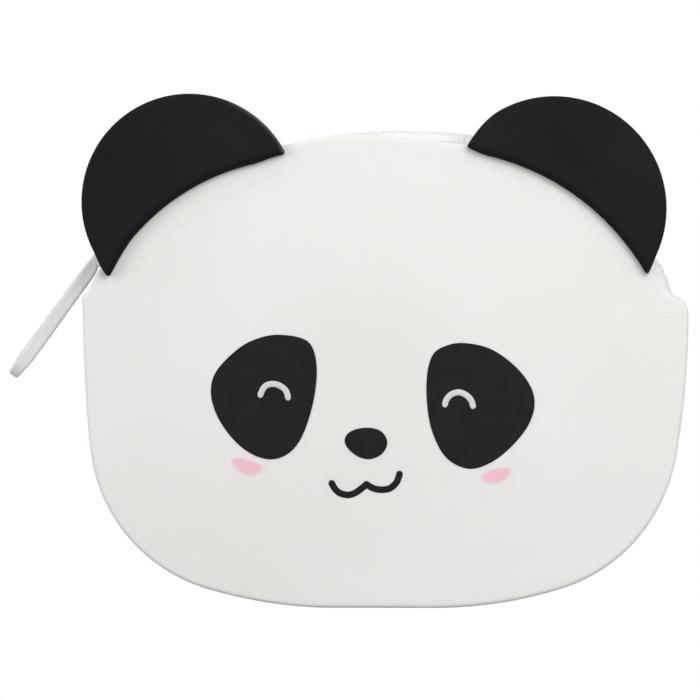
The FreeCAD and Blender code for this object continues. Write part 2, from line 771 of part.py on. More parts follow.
for sign in ("", "-"):
    flange = Drawing(slider, "XY_Plane", depth=OVER)
    outer = sign + SIDE
    inner = sign + "(" + SIDE + " - Sizes.slider_flange)"
    run = HALF + " - Sizes.slider_corner"
    flange.polygon((("-(" + run + ")", inner), (run, inner), (run, outer), ("-(" + run + ")", outer)))
    slider.pad(flange, "Sizes.flange_drop", reverse=True)
crown = Drawing(slider, "XZ_Plane")
TOP = "(" + OVER + " + Sizes.slider_plate)"
gate = "Sizes.crown_span / 2"
post = "(Sizes.crown_span / 2 + Sizes.crown_bar)"
lintel = TOP + " + Sizes.crown_rise"
roof = lintel + " + Sizes.crown_bar"
crown.polygon((
    ("-" + post, TOP),
    ("-" + gate, TOP),
    ("-" + gate, lintel),
    (gate, lintel),
    (gate, TOP),
    (post, TOP),
    (post, roof),
    ("-" + post, roof),
))
slider.pad(crown, "Sizes.crown_width", both=True)
roof_height = value(roof)


def crown_corner(edge):
    box = edge.BoundBox
    flat = box.ZMax - box.ZMin < size["flex_gap"] and box.XMax - box.XMin < size["flex_gap"]
    return flat and abs(box.ZMax - roof_height) < size["flex_gap"]


slider.fillet("Sizes.crown_round", crown_corner)

# pull tab: an eye round the crown, a thin neck and a thicker grip

HINGE = "(" + TOP + " + Sizes.crown_rise / 2)"
HINGE_X = "(" + ZIP_SHIFT + " - " + HINGE + " * sin(" + SLIDER_ANGLE + "))"
HINGE_Z = "(" + ZIP_HEIGHT + " + " + HINGE + " * cos(" + SLIDER_ANGLE + "))"
PAST_X = "(" + HINGE_X + " + Sizes.shoulder_half_width)"
PAST_Z = "(" + HINGE_Z + " - Sizes.shoulder_height)"
PAST = "sqrt(" + PAST_X + "^2 + " + PAST_Z + "^2)"
# the tab lies along the chain, or on the shoulder where it meets that first
ON_SLIDER = SLIDER_ANGLE + " + Sizes.pull_lean"
PAST_TURN = "(atan(" + PAST_X + " / " + PAST_Z + ") + asin(Sizes.pull_clear / " + PAST + "))"
ON_SHOULDER = "90 - " + PAST_TURN + " / (1 deg)"
pull = Piece("pull_tab", x=HINGE_X, z=HINGE_Z, turn="-min(" + ON_SLIDER + "; " + ON_SHOULDER + ")")
thin = "Sizes.pull_neck_thickness / 2"
thick = "Sizes.pull_grip_thickness / 2"
profile = Drawing(pull, "XZ_Plane")
thin_half, thick_half = value(thin), value(thick)
bend_one, bend_two = -size["pull_taper_start"], -size["pull_taper_end"]
tip = -size["pull_length"] + thick_half
eye = Vector(0, 0, 0)
items = [
    profile.arc(eye, thin_half, -90, 90),
    profile.line(Vector(0, thin_half, 0), Vector(bend_one, thin_half, 0)),
    profile.line(Vector(bend_one, thin_half, 0), Vector(bend_two, thick_half, 0)),
    profile.line(Vector(bend_two, thick_half, 0), Vector(tip, thick_half, 0)),
    profile.arc(Vector(tip, 0, 0), thick_half, 90, 270),
    profile.line(Vector(tip, -thick_half, 0), Vector(bend_two, -thick_half, 0)),
    profile.line(Vector(bend_two, -thick_half, 0), Vector(bend_one, -thin_half, 0)),
    profile.line(Vector(bend_one, -thin_half, 0), Vector(0, -thin_half, 0)),
]
profile.smooth(items[0], 2, items[1], 1)
profile.meet(items[1], 2, items[2], 1)
profile.meet(items[2], 2, items[3], 1)
profile.smooth(items[3], 2, items[4], 1)
profile.smooth(items[4], 2, items[5], 1)
profile.meet(items[5], 2, items[6], 1)
profile.meet(items[6], 2, items[7], 1)
profile.smooth(items[7], 2, items[0], 1)
profile.at(items[0], 3, "0", "0")
profile.radius(items[0], thin)
profile.radius(items[4], thick)
for level in (1, 3, 5, 7):
    profile.rule("Horizontal", items[level])
profile.at_x(items[1], 2, "-Sizes.pull_taper_start")
profile.at_x(items[2], 2, "-Sizes.pull_taper_end")
profile.at(items[4], 3, "-Sizes.pull_length + " + thick, "0")
profile.rule("Vertical", items[1], 2, items[6], 2)
profile.rule("Vertical", items[2], 2, items[5], 2)
doc.recompute()
pull.pad(profile, "Sizes.pull_width", both=True)

# the face of the tab is narrower at the eye and round at the grip
trim = Drawing(pull, "XY_Plane")
slim = "Sizes.pull_neck_width / 2"
full = "Sizes.pull_width / 2"
front = "Sizes.pull_neck_thickness"
end = "(Sizes.pull_length - Sizes.pull_width / 2)"
outline = (
    ("-" + end, "-" + full),
    ("-Sizes.pull_taper_end", "-" + full),
    ("-Sizes.pull_taper_start", "-" + slim),
    (front, "-" + slim),
    (front, slim),
    ("-Sizes.pull_taper_start", slim),
    ("-Sizes.pull_taper_end", full),
    ("-" + end, full),
)
spots = [Vector(value(x), value(y), 0) for x, y in outline]
sides = []
for here, there in zip(spots[:-1], spots[1:]):
    sides.append(trim.line(here, there))
for first, second in zip(sides[:-1], sides[1:]):
    trim.meet(first, 2, second, 1)
for side, (x, y) in zip(sides, outline):
    trim.at_x(side, 1, x)
    trim.at_y(side, 1, y)
round_end = trim.arc(Vector(-value(end), 0, 0), value(full), 90, 270)
trim.meet(sides[-1], 2, round_end, 1)
trim.meet(round_end, 2, sides[0], 1)
trim.at(round_end, 3, "-" + end, "0")
trim.at_x(sides[-1], 2, "-" + end)
trim.polygon((
    ("-Sizes.pull_length - Sizes.pull_width", "-Sizes.pull_width"),
    ("Sizes.pull_width", "-Sizes.pull_width"),
    ("Sizes.pull_width", "Sizes.pull_width"),
    ("-Sizes.pull_length - Sizes.pull_width", "Sizes.pull_width"),
))
pull.pocket(trim, "2 * Sizes.pull_grip_thickness", both=True)
hole = Drawing(pull, "XY_Plane")
hole_left = "-Sizes.pull_eye_length"
hole_right = "-" + thin
hole.rounded_block(hole_left, hole_right, "Sizes.pull_eye_width / 2", "Sizes.pull_eye_width / 6")
pull.pocket(hole, "2 * Sizes.pull_grip_thickness", both=True)

# sewing: rows of thread on the faces of the lips, and tacks at the shoulders

crest = crest_centre()
crest_turn = heading(Vector(size["haunch_offset"], size["haunch_height"], 0) - crest)
seam = size["haunch_radius"] - size["stitch_inset"]
seam_floor = size["shoulder_height"] + size["flex_gap"] + size["stitch_margin"]
last_turn = math.degrees(math.asin((seam_floor - size["haunch_height"]) / seam))
haunch_step = math.degrees(size["stitch_pitch"] / seam)
crest_seam = size["crest_radius"] - size["stitch_inset"]
crest_step = math.degrees(size["stitch_pitch"] / crest_seam)
crest_count = int((180 - 2 * crest_turn) / crest_step)
lead = ((crest_count + 1) / 2 * crest_step - (90 - crest_turn)) * crest_seam / seam
haunch_count = int((crest_turn - lead - last_turn) / haunch_step) + 1
SEAM = "(Sizes.haunch_radius - Sizes.stitch_inset)"
CREST_SEAM = "(Sizes.crest_radius - Sizes.stitch_inset)"
CREST_TURN = "(atan(" + DROP + " / Sizes.haunch_offset) / (1 deg))"
STEP = "(Sizes.stitch_pitch / " + SEAM + " * 180 / pi)"
CREST_STEP = "(Sizes.stitch_pitch / " + CREST_SEAM + " * 180 / pi)"
PAST_CREST = "((%d + 1) / 2 * %s - (90 - %s))" % (crest_count, CREST_STEP, CREST_TURN)
FIRST_TURN = "(" + CREST_TURN + " - " + PAST_CREST + " * " + CREST_SEAM + " / " + SEAM + ")"
HALF_LENGTH = "Sizes.stitch_length / 2"


def seam_row(piece, depth, rear, x, y, turn, reach, sweep, count):
    """One run of stitches about the centre of its arc."""
    drawing = Drawing(piece, "XZ_Plane", x=x, y=y, depth=depth, turn=turn)
    inner = reach + " - Sizes.thread_width / 2"
    outer = reach + " + Sizes.thread_width / 2"
    drawing.polygon((
        (inner, "-" + HALF_LENGTH),
        (outer, "-" + HALF_LENGTH),
        (outer, HALF_LENGTH),
        (inner, HALF_LENGTH),
    ))
    stitch = piece.pad(drawing, "Sizes.thread_height", reverse=rear)
    piece.around(stitch, (drawing.sketch, ["N_Axis"]), sweep, count)


for label, rear in (("front_stitching", False), ("rear_stitching", True)):
    sewing = Piece(label, x=SHIFT)
    sewing.body.AllowCompound = True
    depth = "-(" + FACE + ")" if rear else FACE
    across = "Sizes.haunch_offset"
    up = "Sizes.haunch_height"
    run = STEP + " * %d" % (haunch_count - 1)
    right_turn = FIRST_TURN + " - " + run
    seam_row(sewing, depth, rear, across, up, right_turn, SEAM, run, str(haunch_count))
    left_turn = "180 - " + FIRST_TURN
    seam_row(sewing, depth, rear, "-" + across, up, left_turn, SEAM, run, str(haunch_count))
    low = "Sizes.haunch_height - " + DROP
    crest_run = CREST_STEP + " * %d" % (crest_count - 1)
    top_turn = "90 - (" + crest_run + ") / 2"
    seam_row(sewing, depth, rear, "0", low, top_turn, CREST_SEAM, crest_run, str(crest_count))

tacks = Piece("side_bar_tacks")
tacks.body.AllowCompound = True
TACK_OUT = "(Sizes.shoulder_half_width - Sizes.tack_inset)"
TACK_IN = "(" + TACK_OUT + " - Sizes.tack_pitch)"
low, high = "-Sizes.thread_width / 2", "Sizes.thread_width / 2"
for rear in (False, True):
    depth = "-(" + FACE + ")" if rear else FACE
    drawing = Drawing(tacks, "XZ_Plane", y="Sizes.shoulder_height - Sizes.tack_drop", depth=depth)
    for middle in ("-" + TACK_OUT, "-" + TACK_IN, TACK_IN, TACK_OUT):
        near = middle + " - Sizes.tack_length / 2"
        far = middle + " + Sizes.tack_length / 2"
        drawing.polygon(((near, low), (far, low), (far, high), (near, high)))
    tacks.pad(drawing, "Sizes.thread_height", reverse=rear)

# printed face, a thin layer of silicone ink on the front panel

for side, hand in (("left", -1), ("right", 1)):
    sign = "-" if hand < 0 else ""
    x, z = sign + "Sizes.%s_patch_x" % side, "Sizes.%s_patch_z" % side
    patch = Piece("%s_eye_patch" % side)
    patch.pad(patch_outline(Drawing(patch, "XZ_Plane", x=x, y=z, depth=FACE), hand), "Sizes.ink")
    x, z = sign + "Sizes.%s_arc_x" % side, "Sizes.%s_arc_z" % side
    smile = Piece("%s_eye_arc" % side)
    drawing = Drawing(smile, "XZ_Plane", x=x, y=z, depth=FACE + " + Sizes.ink")
    smile.pad(drawing.arc_slot("Sizes.arc_radius", "Sizes.stroke", "0", "180"), "Sizes.ink")
    x, z = sign + "Sizes.%s_cheek_x" % side, "Sizes.%s_cheek_z" % side
    tilt = "-Sizes.cheek_tilt" if hand < 0 else "Sizes.cheek_tilt"
    cheek = Piece("%s_cheek" % side)
    drawing = Drawing(cheek, "XZ_Plane", x=x, y=z, depth=FACE, turn=tilt)
    cheek.pad(
        drawing.oval("Sizes.cheek_half_width", "Sizes.cheek_half_height", "Sizes.cheek_end_round"),
        "Sizes.ink",
    )

nose = Piece("nose")
drawing = Drawing(
    nose, "XZ_Plane", x="-Sizes.nose_x", y="Sizes.nose_z", depth=FACE, turn="-Sizes.nose_tilt"
)
nose.pad(
    drawing.oval("Sizes.nose_half_width", "Sizes.nose_half_height", "Sizes.nose_end_round"),
    "Sizes.ink",
)

mouth = Piece("mouth")
start, end = "270 - Sizes.lobe_half_angle", "270 + Sizes.lobe_half_angle"
left_lobe = Drawing(mouth, "XZ_Plane", x="-Sizes.left_lobe_x", y="Sizes.left_lobe_z", depth=FACE)
mouth.pad(left_lobe.arc_slot("Sizes.lobe_radius", "Sizes.stroke", start, end), "Sizes.ink")
right_lobe = Drawing(
    mouth,
    "XZ_Plane",
    x="-Sizes.right_lobe_x",
    y="Sizes.right_lobe_z",
    depth=FACE,
    turn="Sizes.right_lobe_tilt",
)
mouth.pad(right_lobe.arc_slot("Sizes.lobe_radius", "Sizes.stroke", start, end), "Sizes.ink")

# check every object, then write one file for each sub-part

doc.recompute()
faults = []
for item in doc.Objects:
    if "Invalid" in item.State or "Error" in item.State:
        faults.append(item.Name + " " + str(item.State))
for piece in finished:
    shape = piece.body.Shape
    if shape.isNull() or not shape.isValid() or shape.Volume <= 0:
        faults.append(piece.label + " has no sound shape")
if faults:
    raise RuntimeError("; ".join(faults))
os.makedirs("parts", exist_ok=True)
for piece in finished:
    shape = piece.body.Shape
    shape.exportStep("parts/%s.step" % piece.label)
    box = shape.optimalBoundingBox()
    print(
        "%-18s solids %3d volume %9.2f  X %7.2f %7.2f  Y %7.2f %7.2f  Z %7.2f %7.2f"
        % (
            piece.label,
            len(shape.Solids),
            shape.Volume,
            box.XMin,
            box.XMax,
            box.YMin,
            box.YMax,
            box.ZMin,
            box.ZMax,
        )
    )
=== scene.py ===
import math

import bmesh
import bpy
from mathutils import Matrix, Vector


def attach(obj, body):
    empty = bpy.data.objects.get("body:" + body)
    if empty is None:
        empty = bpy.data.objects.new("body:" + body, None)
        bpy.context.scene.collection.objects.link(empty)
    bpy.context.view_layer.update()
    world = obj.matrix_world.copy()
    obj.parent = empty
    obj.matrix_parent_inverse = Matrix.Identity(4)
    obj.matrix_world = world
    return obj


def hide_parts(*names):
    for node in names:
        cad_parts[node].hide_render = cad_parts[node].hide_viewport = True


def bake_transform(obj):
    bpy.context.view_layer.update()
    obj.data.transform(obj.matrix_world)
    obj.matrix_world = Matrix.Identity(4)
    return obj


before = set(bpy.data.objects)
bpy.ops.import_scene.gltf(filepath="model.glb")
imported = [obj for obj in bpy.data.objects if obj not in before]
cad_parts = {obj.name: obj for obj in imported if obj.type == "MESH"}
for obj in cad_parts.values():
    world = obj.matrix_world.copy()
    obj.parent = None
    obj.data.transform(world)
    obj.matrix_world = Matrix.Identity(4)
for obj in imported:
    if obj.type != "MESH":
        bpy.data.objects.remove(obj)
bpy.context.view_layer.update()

MM = 0.001

# Sizes are in millimetres and turns in degrees, in the part's frame: X right, Y to the rear, Z up.
# A pair of numbers is a place (x, z), or a span over which something sets in or fades.

# pouch
HALF_DEPTH = 12.0
WALL = 2.0
CROWN = 0.9
INNER_CROWN = 0.9
INNER_INSET = 3.4
HUB = (-0.8, 45.0)
BASE_HALF = 10.0
BASE_STEPS = 8
BASE_RADIUS = 84.0
CORNER = (25.53, 34.9)
CORNER_RADIUS = 32.5
SIDE = (-160.29, 60.0)
SIDE_RADIUS = 220.0
SIDE_TOP = 57.4
MOUTH_SHIFT = -1.7
HAUNCH = (11.3, 42.0)
HAUNCH_RADIUS = 50.2
HAUNCH_ENDS = (27.6, 152.2)
CREST_RADIUS = 120.0
CREST_TURN = 80.68
RIGHT_SHOULDER = ((59.62, 58.9), (59.05, 60.3), (58.0, 61.2), (56.7, 61.95), (55.75, 63.0))
RIGHT_GUSSET_FROM = 56.3
LEFT_NOTCH = ((-58.25, 63.4), (-58.95, 62.4))
LEFT_TIP = ((-59.95, 61.5), (-59.82, 60.2), (-59.72, 58.8))
LIP_EDGE = 0.7
GUSSET_EDGE = 0.75
LEFT_TIP_EDGE = 0.55
LEFT_TIP_FROM = (-50, 50)
PANEL_MARGIN = 0.3
# where the outline is fuller than its arcs: how far, and the spans where it sets in and fades
CREST_FULL = (0.8, (-19.0, -9.0), (5.0, -5.0))
SHOULDER_FULL = (0.6, (16, 50), (64, 60))
CORNER_FULL, CORNER_X, CORNER_Z = 0.4, (-20, -40), (52, 30)

# ears: centre and radius of the disc, centre and radius of the arc that cuts its base
EARS = {
    "left": ((-38.5, 80.47), 21.38, (-16.0, 44.97), 44.01),
    "right": ((33.77, 79.14), 22.19, (9.34, 41.8), 49.01),
}
# how far the rim and the base stand out near the two ends of the base, and how far along
EAR_TIPS = {
    "left": (((0.0, 5.0), (1.0, 7.5)), ((0.6, 5.5), (-0.45, 9.0))),
    "right": (((0.4, 4.5), (0.0, 4.0)), ((-1.0, 12.0), (1.05, 6.0))),
}
EAR_THICK = 2.4
EAR_GLUE = 0.02
EAR_DOME = 0.1
EAR_BACK_ROUND = 0.35
RIM_ROUND = 0.95
BASE_ROUND = (1.4, 1.6)
EAR_RIM, EAR_FOOT = 96, 60
TIP_BLEND = 6
# painted highlight on the left ear's upper rim: how strong, and the turns round the disc over
# which it sets in and fades
RIM_HIGHLIGHT = (1.0, (0, 18), (78, 55))

# zip
ZIP_CENTRE = (-0.4, 25.709)
ZIP_RADIUS = 68.792
ZIP_END = 57.0
SAG = (1.1, (-42, -12), (19, -5))
LIFT = (0.55, (5, 15), (34, 20))
COVER_SPAN = (52.9, 54.9)
CHAIN_HALF = 0.9
CHAIN_FLOOR = 0.87
FLAT, FLAT_IN, FLAT_COVERED = 0.13, (44, 51), 0.45
COIL_PITCH = 1.2
SEWING_LINE = (
    (2.62, -0.86), (2.5, -0.3), (2.38, 0.25), (2.05, 0.7), (1.5, 0.9),
    (1.42, 0.72), (1.9, 0.5), (2.2, 0.1), (2.3, -0.86),
)
STOP_TURN = 55.45
STOP_NEAR, STOP_FAR = 0.3, 2.2
TAPE_PAST = (2.6, 1.4)
# how the tapes close over the chain's right end, sink at both ends and meet at their inner edges
COVER_RISE, COVER_REACH = 1.12, (9.0, 6.0)
COVER_SWELL, COVER_SWELL_SPAN = 0.5, (58, 53)
RIGHT_SINK_FROM = 52.5
LEFT_SINK, LEFT_SINK_FROM = 1.3, -55.5
MEET, MEET_SPAN, MEET_REACH = 1.1, (-53.7, -55.4), (4.0, 1.2)

# slider and pull
SLIDER_TURN = -50.009
PULL_HINGE = (-55.978, 72.329)
PULL_TURN = -54.51
# the pull's bar: place from the hinge, half the width, upper and lower face
PULL_STATIONS = (
    (-4.7, 2.3, 0.5, -1.36), (-4.85, 2.55, 0.54, -1.52), (-5.2, 2.75, 0.55, -1.7),
    (-6.0, 2.95, 0.56, -1.88), (-7.0, 3.25, 0.57, -1.92), (-8.0, 3.45, 0.6, -1.94),
    (-9.5, 3.5, 0.62, -1.92), (-14.0, 3.5, 0.7, -1.87), (-20.0, 3.5, 0.81, -1.87),
    (-25.0, 3.5, 0.9, -1.84), (-27.5, 3.48, 0.93, -1.77), (-28.6, 3.45, 0.88, -1.7),
    (-29.6, 3.33, 0.78, -1.58), (-30.6, 3.0, 0.7, -1.48), (-31.4, 2.5, 0.66, -1.44),
    (-31.9, 1.95, 0.6, -1.38), (-32.15, 1.5, 0.48, -1.26), (-32.28, 1.1, 0.26, -1.04),
)

# sewing
SEAM_CENTRES = (7.7, -4.0)
SEAM_HEIGHT = 9.0
SEAM_RADIUS = 82.1
SEAM_INSET = 3.6
SEAM_LEFT, SEAM_RIGHT, SEAM_END = 138.0, 72.0, 31.0
SEAM_STEP = 0.5
STITCH_PITCH = 5.05
STITCH_LENGTH = 3.0
STITCH_THICK = 0.14
# along the stitch as a share of half its length, and its height over the face
STITCH_LINE = (
    (-1.0, -0.5), (-0.93, -0.22), (-0.75, -0.11), (-0.35, -0.08), (0.0, -0.07),
    (0.35, -0.08), (0.75, -0.11), (0.93, -0.22), (1.0, -0.5),
)
TACK_LENGTH = 1.2
TACK_HEIGHT = 57.8
TACK_PLACES = (57.7, 55.9, -58.7, -56.9)

# printed face
LEFT_PATCH = (
    (-20.7, 54.05), (-24.6, 53.45), (-28.6, 51.45), (-32.9, 47.2), (-34.2, 43.2),
    (-33.2, 38.6), (-30.2, 33.9), (-26.4, 30.7), (-22.3, 29.5), (-18.6, 30.9),
    (-16.0, 34.5), (-14.0, 40.8), (-13.3, 47.0), (-14.1, 51.4), (-16.2, 53.35),
)
RIGHT_PATCH = (
    (15.7, 52.45), (12.4, 51.9), (9.9, 50.3), (8.7, 46.6), (8.6, 41.0),
    (9.6, 35.2), (12.3, 30.0), (16.6, 27.7), (20.8, 28.7), (25.0, 31.8),
    (28.6, 36.3), (29.8, 40.8), (28.5, 44.8), (25.0, 48.75), (20.6, 51.5),
)
NOSE = (
    (-3.6, 35.7), (-5.7, 35.35), (-7.15, 34.5), (-7.7, 33.2), (-7.15, 31.75), (-5.4, 30.2),
    (-3.1, 29.5), (-0.9, 30.15), (0.4, 31.6), (0.65, 33.2), (-0.25, 34.8), (-1.8, 35.55),
)
LEFT_CHEEK = (
    (-28.6, 29.95), (-29.9, 29.75), (-30.2, 28.9), (-29.4, 27.6), (-27.9, 26.4),
    (-26.3, 26.15), (-24.5, 26.9), (-23.8, 27.8), (-24.6, 28.7), (-26.5, 29.5),
)
RIGHT_CHEEK = (
    (23.6, 28.05), (21.6, 27.7), (19.6, 26.9), (18.95, 26.2), (19.6, 25.2),
    (21.3, 24.6), (23.2, 24.9), (24.7, 26.0), (25.4, 27.3), (25.0, 27.95),
)
LEFT_EYE = (
    (-24.45, 41.6), (-24.3, 42.6), (-23.5, 43.9), (-22.1, 44.4),
    (-20.5, 44.0), (-19.3, 42.9), (-18.85, 41.1),
)
RIGHT_EYE = (
    (12.1, 39.75), (12.3, 41.0), (13.2, 42.2), (14.7, 42.75),
    (16.2, 42.3), (17.35, 41.1), (17.8, 39.45),
)
LEFT_LOBE = (
    (-10.6, 25.3), (-9.65, 23.6), (-8.6, 22.75), (-7.1, 22.4),
    (-5.8, 22.75), (-4.6, 23.55), (-2.9, 24.9),
)
RIGHT_LOBE = (
    (-4.0, 24.9), (-2.6, 24.0), (-1.6, 23.6), (-0.3, 23.45),
    (1.0, 23.65), (2.0, 24.3), (2.75, 25.35), (3.3, 27.2),
)
PRINT_SPREAD = 1.006
PRINT_BACK = 0.02
EYE_STROKE, MOUTH_STROKE = 1.38, 1.335
STROKE_STEPS = 8
STROKE_END = 0.02
# across the stroke as a share of half its width, and its height as a share of the rise
STROKE_PROFILE = (
    (-1, -1.0), (-1, 0.1), (-0.82, 0.75), (-0.4, 1.0),
    (0.4, 1.0), (0.82, 0.75), (1, 0.1), (1, -1.0),
)
FADE_MIDDLE = 0.6

# rings of a pouch half: shares of the panel, turns round its edge, then (y, inset) inwards
PANEL_SHARES = (0.06, 0.16, 0.27, 0.38, 0.49, 0.6, 0.7, 0.79, 0.87, 0.94, 1.0)
EDGE_TURNS = (15, 32, 50, 70, 90)
GUSSET_RUN = (
    (8.0, 0.0), (4.0, 0.0), (0.7, 0.0), (0.35, 0.04), (0.03, 0.26),
    (0.03, 2.0), (4.0, 2.0), (9.0, 2.0), (9.75, 2.3), (10.0, 3.2),
)
LIP_RUN = (
    (11.1, 0.0), (10.9, 0.0), (10.7, 0.0), (10.5, 0.0), (10.15, 0.15),
    (10.0, 0.5), (10.0, 0.9), (10.0, 1.4), (10.0, 2.0), (10.0, 3.2),
)
FACE_SHARES = (0.1, 0.25, 0.42, 0.6, 0.78, 0.92)
BLOCK_TURNS = (0, 30, 60, 90)

# the mouth bodies: their pieces are baked in place instead of being attached to a body
FLEX = ("front_mouth", "rear_mouth")

# light and camera, in metres: name, place, size and power of each lamp
LAMPS = (
    ("key", (0.2, -0.40, 0.28), 0.3, 1.12),
    ("fill", (-0.62, -0.46, 0.24), 0.4, 1.35),
    ("back", (-0.2, 0.80, 0.16), 0.28, 1.5),
)
LAMP_TARGET = (0, 0, 0.05)
SKY_LEVEL = 0.623
FLOOR_TONE = 0.42
FLOOR_X, FLOOR_Y = 2.6, 2.4
FLOOR_DROP = 0.0002
SWEEP_RADIUS, SWEEP_STEPS = 0.6, 8
BACKDROP_TOP = 2.6
VIEW_YAW = 2.0
VIEW_PITCH = 0.8
VIEW_AWAY = 1.80
AIM = Vector((-0.0067, -0.012, 0.0511))
PIXELS, PIXELS_PER_MM = 700, 5.05
SENSOR = 36


# shapes


def ray(angle):
    turn = math.radians(angle)
    return math.cos(turn), math.sin(turn)


def heading(start, end):
    return math.degrees(math.atan2(end[1] - start[1], end[0] - start[0]))


def polar(centre, radius, angle):
    c, s = ray(angle)
    return centre[0] + radius * c, centre[1] + radius * s


def normal(a, b):
    """Square to the way from one point to another, to its left."""
    away = math.dist(a, b)
    return -(b[1] - a[1]) / away, (b[0] - a[0]) / away


def ease(start, end, value):
    """From 0 to 1 as a value goes from the start to the end of a span."""
    share = min(1.0, max(0.0, (value - start) / (end - start)))
    return share * share * (3 - 2 * share)


def hump(height, rise, fall, value):
    """A height that sets in over one span of values and fades over another."""
    return height * ease(*rise, value) * ease(*fall, value)


def arc(centre, radius, first, last, step=1.1):
    """Points on an arc, from one angle to the other."""
    count = max(3, round(abs(math.radians(last - first)) * radius / step))
    steps = (first + (last - first) * k / count for k in range(count + 1))
    return [polar(centre, radius, angle) for angle in steps]


def curve(points, per=4):
    """A smooth open run through a few points."""
    ends = [points[0]] + list(points) + [points[-1]]
    out = []
    for i in range(1, len(ends) - 2):
        a, b, c, d = ends[i - 1:i + 3]
        for k in range(per):
            t = k / per
            out.append(tuple(0.5 * (
                2 * b[j]
                + (c[j] - a[j]) * t
                + (2 * a[j] - 5 * b[j] + 4 * c[j] - d[j]) * t * t
                + (3 * b[j] - a[j] - 3 * c[j] + d[j]) * t ** 3
            ) for j in (0, 1)))
    out.append(tuple(points[-1]))
    return out


def loop(points, per=7):
    """A smooth closed run through a few points."""
    ends = [points[-1]] + list(points) + list(points[:2])
    run = curve(ends, per)
    return run[per:per + per * len(points)]


def tidy(points, gap=0.15):
    """The points without near repeats, as a closed run; a mark may follow x and z."""
    out = []
    for point in points:
        if not out or math.dist(out[-1][:2], point[:2]) > gap:
            out.append(point)
    if math.dist(out[0][:2], out[-1][:2]) < gap:
        out.pop()
    return out


def evened(values, passes):
    """Values round a closed run, each drawn towards its neighbours."""
    for _ in range(passes):
        count = len(values)
        values = [
            (values[i - 1] + 2 * values[i] + values[(i + 1) % count]) / 4 for i in range(count)
        ]
    return values


def middle(points):
    return tuple((min(values) + max(values)) / 2 for values in zip(*points))


def run_lengths(points):
    """How far along an open run each of its points lies."""
    out = [0.0]
    for a, b in zip(points[:-1], points[1:]):
        out.append(out[-1] + math.dist(a, b))
    return out


def beside(run, i):
    """The points before and after one of an open run, or the point itself at an end."""
    return run[max(i - 1, 0)], run[min(i + 1, len(run) - 1)]


def inset_ways(points, hub, least=0.55):
    """For each point of a counter-clockwise run, the way to the hub for a millimetre of inset."""
    units, ways = [], []
    for i, (x, z) in enumerate(points):
        nx, nz = normal(points[i - 1], points[(i + 1) % len(points)])
        away = math.dist((x, z), hub)
        ux, uz = (hub[0] - x) / away, (hub[1] - z) / away
        units.append((ux, uz))
        ways.append(1 / max(nx * ux + nz * uz, least))
    return [(ux * way, uz * way) for (ux, uz), way in zip(units, evened(ways, passes=3))]


def inset(points, ways, by):
    """The points moved in by one depth, or by a depth each."""
    if not isinstance(by, (list, tuple)):
        by = [by] * len(points)
    return [(x + wx * d, z + wz * d) for (x, z), (wx, wz), d in zip(points, ways, by)]


def shrunk(points, hub, share):
    return [(hub[0] + (x - hub[0]) * share, hub[1] + (z - hub[1]) * share) for x, z in points]


def add_object(name, data):
    obj = bpy.data.objects.new(name, data)
    bpy.context.scene.collection.objects.link(obj)
    return obj


def mesh_object(name, verts, faces, sharp, weave=None):
    """A mesh from points in millimetres, with its normals outwards; weave is a place per point."""
    mesh = bpy.data.meshes.new(name)
    mesh.from_pydata([Vector(v) * MM for v in verts], [], faces)
    if weave:
        layer = mesh.uv_layers.new(name="weave")
        for corner in mesh.loops:
            layer.data[corner.index].uv = weave[corner.vertex_index]
    work = bmesh.new()
    work.from_mesh(mesh)
    bmesh.ops.remove_doubles(work, verts=work.verts, dist=1e-7)
    bmesh.ops.recalc_face_normals(work, faces=work.faces)
    work.to_mesh(mesh)
    work.free()
    mesh.shade_smooth()
    mesh.set_sharp_from_angle(angle=math.radians(sharp))
    return add_object(name, mesh)


def mark_points(obj, name, values):
    """Store a number at each point for the material."""
    layer = obj.data.attributes.new(name, "FLOAT", "POINT")
    for row, value in zip(layer.data, values):
        row.value = value


def ring_faces(rings, count):
    """Faces between closed rings of the same count, with the first and last ring filled."""
    faces = []
    last = (rings - 1) * count
    for a in range(0, last, count):
        b = a + count
        for i in range(count):
            j = (i + 1) % count
            faces.append((a + i, a + j, b + j, b + i))
    return faces + [tuple(range(count)), tuple(range(last, last + count))]


def stacked(rings):
    """Points and faces of a stack of closed rings."""
    return [v for ring in rings for v in ring], ring_faces(len(rings), len(rings[0]))


def swept(path, section, axes):
    """A section along a path: axes gives its two directions from a spot and the way along."""
    verts = []
    for k, spot in enumerate(path):
        before, after = beside(path, k)
        across, up = axes(spot, (after - before).normalized())
        verts += [tuple(spot + across * u + up * v) for u, v in section]
    return verts, ring_faces(len(path), len(section))


def circle(sides):
    return [ray(360 * k / sides) for k in range(sides)]


def joined(parts):
    verts, faces = [], []
    for part_verts, part_faces in parts:
        start = len(verts)
        verts += part_verts
        faces += [tuple(start + i for i in face) for face in part_faces]
    return verts, faces


def set_in(verts, turn, spot):
    """Local points (along, across, out) turned about Y and moved to a spot (x, z)."""
    c, s = ray(turn)
    return [(spot[0] + x * c + n * s, y, spot[1] - x * s + n * c) for x, y, n in verts]


def block(left, right, half_width, corner, low, high, soft):
    """A flat block with round corners and soft edges, lying along X and Y."""
    outline = []
    for cx, cy, first in (
        (right - corner, half_width - corner, 0), (left + corner, half_width - corner, 90),
        (left + corner, corner - half_width, 180), (right - corner, corner - half_width, 270),
    ):
        outline += arc((cx, cy), corner, first, first + 90, corner / 4)
    outline = tidy(outline, gap=0.02)
    ways = inset_ways(outline, ((left + right) / 2, 0.0), least=0.4)
    rings = []
    for level, way in ((low, 1), (high, -1)):
        for turn in BLOCK_TURNS[::way]:
            c, s = ray(turn)
            run = inset(outline, ways, soft * (1 - s))
            rings.append([(x, y, level + way * soft * (1 - c)) for x, y in run])
    return stacked(rings)


